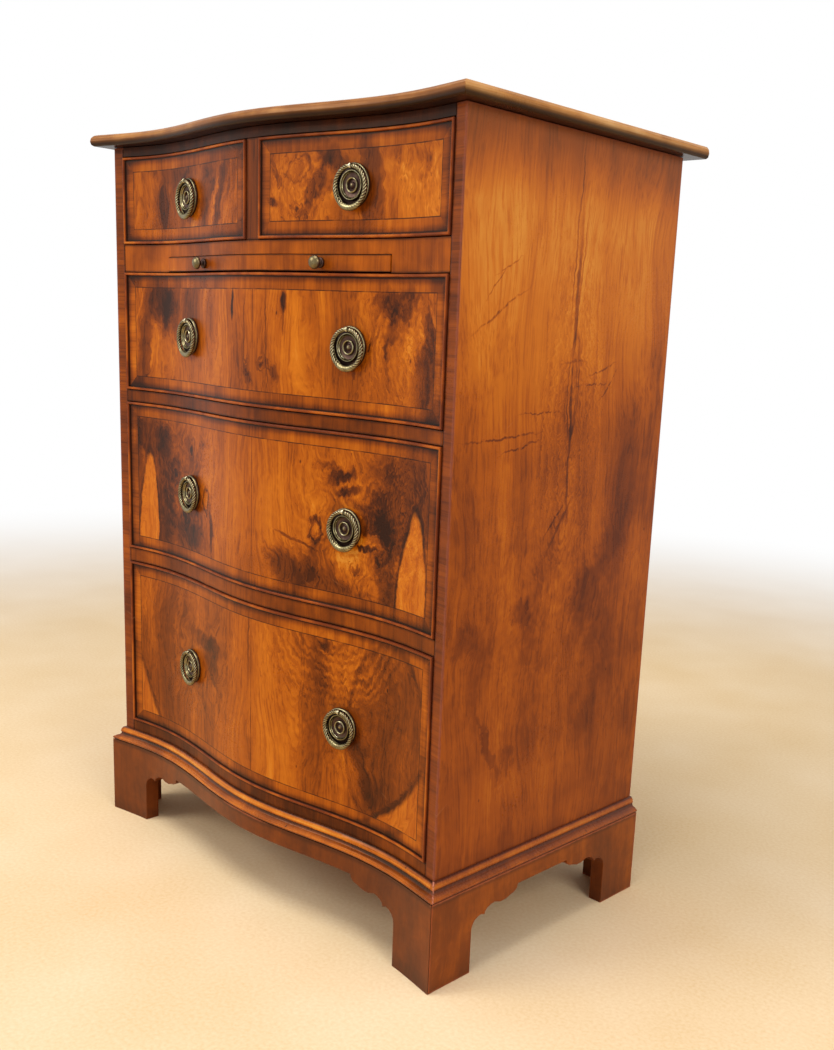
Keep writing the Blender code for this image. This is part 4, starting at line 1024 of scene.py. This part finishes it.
def plate_profile():
    """(radius, height) of the backplate: button, collar, dished boss with two ridges, moat and rim."""
    floor, moat = 0.0022, 0.0014
    profile = [(0.0, 0.0040), (0.0011, 0.0039), (0.0020, 0.0035), (0.0026, 0.0029), (0.0028, floor)]
    profile += [(0.0032, floor - 0.0003), (0.0048, floor - 0.0003)]
    profile += rounded(0.0070, 0.0020, floor, 0.0042)
    profile += [(0.0074, floor), (0.0100, floor + 0.0002)]
    profile += rounded(0.0113, 0.0009, floor + 0.0004, 0.0040, 4)
    profile += [(0.0115, 0.0032)]
    profile += rounded(0.0129, 0.0013, 0.0032, 0.0050, 5)[1:]
    profile += [(0.0131, moat + 0.0003), (0.0135, moat), (0.0172, moat)]
    profile += rounded(PLATE_RADIUS, 0.0018, moat, 0.0030, 6)
    return profile + [(PLATE_RADIUS, 0.0004), (PLATE_RADIUS - 0.0004, 0.0), (0.0, 0.0)]


def set_crown(work, crown):
    """Stores how proud each point is, from 0 in the hollows to 1 on the crowns."""
    layer = work.verts.layers.float.new("crown")
    for vert in work.verts:
        vert[layer] = crown(vert.co) if callable(crown) else crown


def plate_crown(co):
    radius = math.hypot(co.x, co.y)
    crowns = ((0.0, 0.0040), (0.0060, 0.0042), (0.0108, 0.0040), (0.01225, 0.0050), (0.0183, 0.0030))
    best = 0.0
    for at, height in crowns:
        near = max(0.0, 1.0 - abs(radius - at) / 0.0016)
        best = max(best, near * max(0.0, 1.0 - (height - co.z) / 0.0016))
    in_moat = MOAT_INSIDE < radius < MOAT_OUTSIDE
    return (0.12 if in_moat else 0.28) + 0.62 * best


def band_round(radius, thick, width, steps=40):
    """A flat hoop about the X axis, with rounded edges."""
    work = bmesh.new()
    bmesh.ops.create_circle(work, segments=16, radius=0.5)
    shape = Matrix.Diagonal((width, thick, 1.0, 1.0))
    bmesh.ops.transform(work, matrix=Matrix.Translation((0.0, radius, 0.0)) @ shape, verts=work.verts)
    return spun(work, list(work.verts) + list(work.edges), (1, 0, 0), steps)


def rope_ring():
    """The hanging ring, centred on its hinge: a round wire notched like rope, smooth at its foot."""
    work = bmesh.new()
    bmesh.ops.create_circle(work, segments=14, radius=RING_WIRE)
    bmesh.ops.rotate(work, verts=work.verts, cent=(0, 0, 0), matrix=Matrix.Rotation(math.pi / 2, 3, "X"))
    bmesh.ops.translate(work, verts=work.verts, vec=(RING_RADIUS, 0.0, 0.0))
    spun(work, list(work.verts) + list(work.edges), (0, 0, 1), ROPE_NOTCHES * 8)
    layer = work.verts.layers.float.new("crown")
    for vert in work.verts:
        around = math.atan2(vert.co.y, vert.co.x)
        centre = Vector((math.cos(around), math.sin(around), 0.0)) * RING_RADIUS
        off = vert.co - centre
        outward = off.dot(centre) / RING_RADIUS
        roll = math.atan2(off.z, outward)
        lobe = abs(math.sin((around * ROPE_NOTCHES + ROPE_TWIST * roll) / 2)) ** 0.8
        foot = max(0.0, min(1.0, (-math.sin(around) - 0.70) / 0.22))
        from_top = abs(math.degrees(around) - 90.0)
        neck = max(0.0, min(1.0, (NECK_END - from_top) / (NECK_END - NECK_ARC)))
        notch = (1.0 - lobe) * (1.0 - 0.85 * foot) * (1.0 - neck)
        girth = (1.0 - neck) * (0.985 - notch * ROPE_DEPTH / RING_WIRE) + neck * NECK_WIRE / RING_WIRE
        wider = centre * (outward / RING_RADIUS * FOOT_SWELL * foot)
        vert.co = centre + off * girth + wider
        vert[layer] = 0.86 - notch - 0.16 * foot
    bmesh.ops.translate(work, verts=work.verts, vec=(0.0, -RING_RADIUS, 0.0))
    return work


def chamfered_bar(radius, low, high, sides, chamfer):
    """A bar along Z between two heights, round or many-sided, with its ends chamfered."""
    work = bmesh.new()
    place = Matrix.Translation((0.0, 0.0, (low + high) / 2))
    bmesh.ops.create_cone(
        work, cap_ends=True, segments=sides, radius1=radius, radius2=radius, depth=high - low, matrix=place
    )
    ends = [edge for edge in work.edges if abs(edge.verts[0].co.z - edge.verts[1].co.z) < chamfer / 2]
    bmesh.ops.bevel(
        work, geom=ends, offset=chamfer, affect="EDGES", segments=2, profile=0.5, material=-1,
        clamp_overlap=True,
    )
    return work


def brass_piece(name, work, place, body, node, slot, finish, sharp, crown=None):
    """Puts a brass mesh in its place and lets it ride with its body. Edges over sharp degrees stay crisp."""
    if crown is not None:
        set_crown(work, crown)
    bmesh.ops.transform(work, matrix=place, verts=work.verts)
    mesh = bpy.data.meshes.new(name)
    work.to_mesh(mesh)
    work.free()
    mesh.materials.append(finish)
    mesh.shade_smooth()
    mesh.set_sharp_from_angle(angle=math.radians(sharp))
    stand_in(mesh, body, node)


def make_pulls():
    plate_brass = brass_finish("antique_brass_plate")
    ring_brass = brass_finish("antique_brass_ring")
    for joint in frame["joints"]:
        if not joint["name"].endswith("_ring_hinge"):
            continue
        along = -Vector(joint["axis"])
        place = placed(joint["pos_m"], along, UP, along.cross(UP))
        seat = place @ Matrix.Translation((0.0, -EYE_DROP, -STANDOFF))
        body, ring_body = joint["parent"], joint["child"]
        ring_node = frame["record"]["behaviour"]["bodies"][ring_body][0]
        plate_node = ring_node.replace("_ring", "_plate")
        stem = ring_node.replace("_pull_ring", "_pull")
        plate = turned_piece(plate_profile())
        eye = band_round(EYE_RADIUS, EYE_THICK, EYE_WIDTH)
        shank = chamfered_bar(SHANK_RADIUS, PLATE_INSIDE - STANDOFF, -EYE_RADIUS, 16, 0.0002)
        tail = stud_tail(plate_node, seat)
        stud = chamfered_bar(STUD_RADIUS, tail, PLATE_INSIDE, 24, 0.0003)
        nut = chamfered_bar(NUT_RADIUS, tail + STUD_END, tail + STUD_END + NUT_THICK, 6, 0.0004)
        for suffix, work, spot, sharp, crown in (
            ("_backplate", plate, seat, 50, plate_crown),
            ("_eye", eye, place, 60, 0.88),
            ("_shank", shank, place, 38, 0.40),
            ("_stud", stud, seat, 38, 0.45),
            ("_nut", nut, seat, 30, 0.50),
        ):
            given = (body, plate_node, "antique_brass_plate", plate_brass, sharp, crown)
            brass_piece(stem + suffix, work, spot, *given)
        given = (ring_body, ring_node, "antique_brass_ring", ring_brass, 80)
        brass_piece(stem + "_rope_ring", rope_ring(), place, *given)


def stud_tail(plate_node, seat):
    """How far the stud's end lies behind the plate's back, measured on its node."""
    inward = seat.inverted()
    return min((inward @ vert.co).z for vert in frame["nodes"][plate_node].data.vertices)


def knob_profile():
    """(radius, height) of a turned knob: low domed head with a rim, neck, flange and spigot."""
    profile = [(0.0, 0.0126), (0.0022, 0.0124), (0.0042, 0.0116), (0.0057, 0.0102), (0.0064, 0.0086)]
    profile += [(0.0063, 0.0076), (0.0055, 0.0068), (0.0040, 0.0063), (0.0026, 0.0058), (0.0021, 0.0050)]
    profile += [(0.0022, 0.0040), (0.0028, 0.0032), (0.0036, 0.0027), (0.0046, 0.0023), (0.0048, 0.0018)]
    return profile + [(0.0048, 0.0003), (0.0046, 0.0001), (0.0018, 0.0), (0.0018, -0.0098), (0.0, -0.0100)]


def knob_crown(co):
    return 0.24 + 0.34 * min(1.0, max(0.0, (co.z - 0.006) / 0.006))


def make_knobs():
    finish = brass_finish("antique_brass_knob")
    for hand in ("left", "right"):
        node = "slide_knob_" + hand
        low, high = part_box(node)
        turn = knob_turn(node)
        across = Vector((math.cos(turn), math.sin(turn), 0.0))
        out = Vector((math.sin(turn), -math.cos(turn), 0.0))
        foot = (low + high) / 2 - out * (KNOB_PROUD - KNOB_SPAN / 2)
        given = (placed(foot, across, UP, out), "slide", node, "antique_brass_knob", finish, 50, knob_crown)
        brass_piece(node + "_turned", turned_piece(knob_profile(), 56), *given)


def knob_turn(node):
    """The turn about Z at which the front faces where the knob stands."""
    low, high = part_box(node)
    reach = abs(low.x + high.x) / 2 / HALF
    slope = RISE * math.pi / DIP / HALF * math.sin(math.pi * reach / DIP)
    return math.atan(slope) * (1 if low.x > 0 else -1)


# Stage, light and camera


def make_stage():
    """A pale floor that fades to white away from the chest, and keeps its shadow."""
    work = bmesh.new()
    bmesh.ops.create_grid(work, x_segments=1, y_segments=1, size=12.0)
    mesh = bpy.data.meshes.new("floor")
    work.to_mesh(mesh)
    work.free()
    floor = linked("floor", mesh)
    made, w, surface, point = new_finish("pale_floor")
    level = w.plus(w.times(w.noise(point, 260, 3), 0.5), w.times(w.noise(point, 5, 2), 0.5))
    colour = w.ramp(level, shades((0.28, 238, 204, 150), (0.72, 254, 229, 190)))
    w.fill(surface, Base_Color=colour, Roughness=0.9, Specular_IOR_Level=0.1)
    x, y, _ = w.split(point)
    away = w.maths("SQRT", w.plus(w.times(x, x), w.times(y, y)))
    rays = w.add("ShaderNodeLightPath").outputs
    seen = w.most(rays["Is Camera Ray"], rays["Is Glossy Ray"])
    white = w.add("ShaderNodeEmission").outputs[0]
    fade = {0: w.times(w.ease(away, 0.9, 2.6), seen), 1: surface.outputs[0], 2: white}
    w.fill(made.node_tree.nodes["Material Output"], Surface=w.run("ShaderNodeMixShader", fade))
    mesh.materials.append(made)


def make_world():
    world = bpy.data.worlds.new("studio")
    bpy.context.scene.world = world
    world.use_nodes = True
    w = Wiring(world.node_tree)
    base = world.node_tree.nodes["Background"]
    rays = w.add("ShaderNodeLightPath").outputs
    seen = w.most(rays["Is Camera Ray"], w.most(rays["Is Glossy Ray"], rays["Is Transmission Ray"]))
    colour = w.blend(seen, (0.95, 0.95, 1.0, 1.0), (1.0, 1.0, 1.0, 1.0))
    w.fill(base, Strength=w.between(seen, 0.45, 1.0), Color=colour)


def area_lamp(name, place, aim, size, energy):
    light = bpy.data.lights.new(name, "AREA")
    light.shape = "SQUARE"
    light.size = size
    light.energy = energy
    lamp = linked(name, light)
    lamp.location = place
    lamp.rotation_euler = (Vector(aim) - Vector(place)).to_track_quat("-Z", "Y").to_euler()


def make_lights():
    make_world()
    area_lamp("overhead", (0.1, -0.6, 2.6), (0.0, 0.0, 0.3), 1.2, 31.0)
    area_lamp("front_left", (-1.3, -2.2, 1.9), (0.0, 0.0, 0.4), 1.2, 29.0)
    area_lamp("right_fill", (2.4, -0.5, 1.6), (0.0, 0.0, 0.4), 1.2, 24.0)


def make_camera():
    yaw, pitch, roll = (math.radians(angle) for angle in (CAMERA_YAW, CAMERA_PITCH, CAMERA_ROLL))
    ahead = Vector((-math.sin(yaw) * math.cos(pitch), math.cos(yaw) * math.cos(pitch), math.sin(pitch)))
    level = Vector((math.cos(yaw), math.sin(yaw), 0.0))
    upright = level.cross(ahead)
    right = math.cos(roll) * level + math.sin(roll) * upright
    up = -math.sin(roll) * level + math.cos(roll) * upright
    lens = bpy.data.cameras.new("camera")
    lens.lens = CAMERA_LENS
    lens.shift_x, lens.shift_y = CAMERA_SHIFT
    lens.clip_start = 0.02
    camera = linked("camera", lens)
    camera.matrix_world = placed(CAMERA_PLACE, right, up, -ahead)
    bpy.context.scene.camera = camera


make_camera()
make_stage()
make_lights()
dress_carcase()
dress_drawers()
make_pulls()
make_knobs()
bpy.context.scene.view_settings.view_transform = "Standard"

bpy.context.view_layer.update()
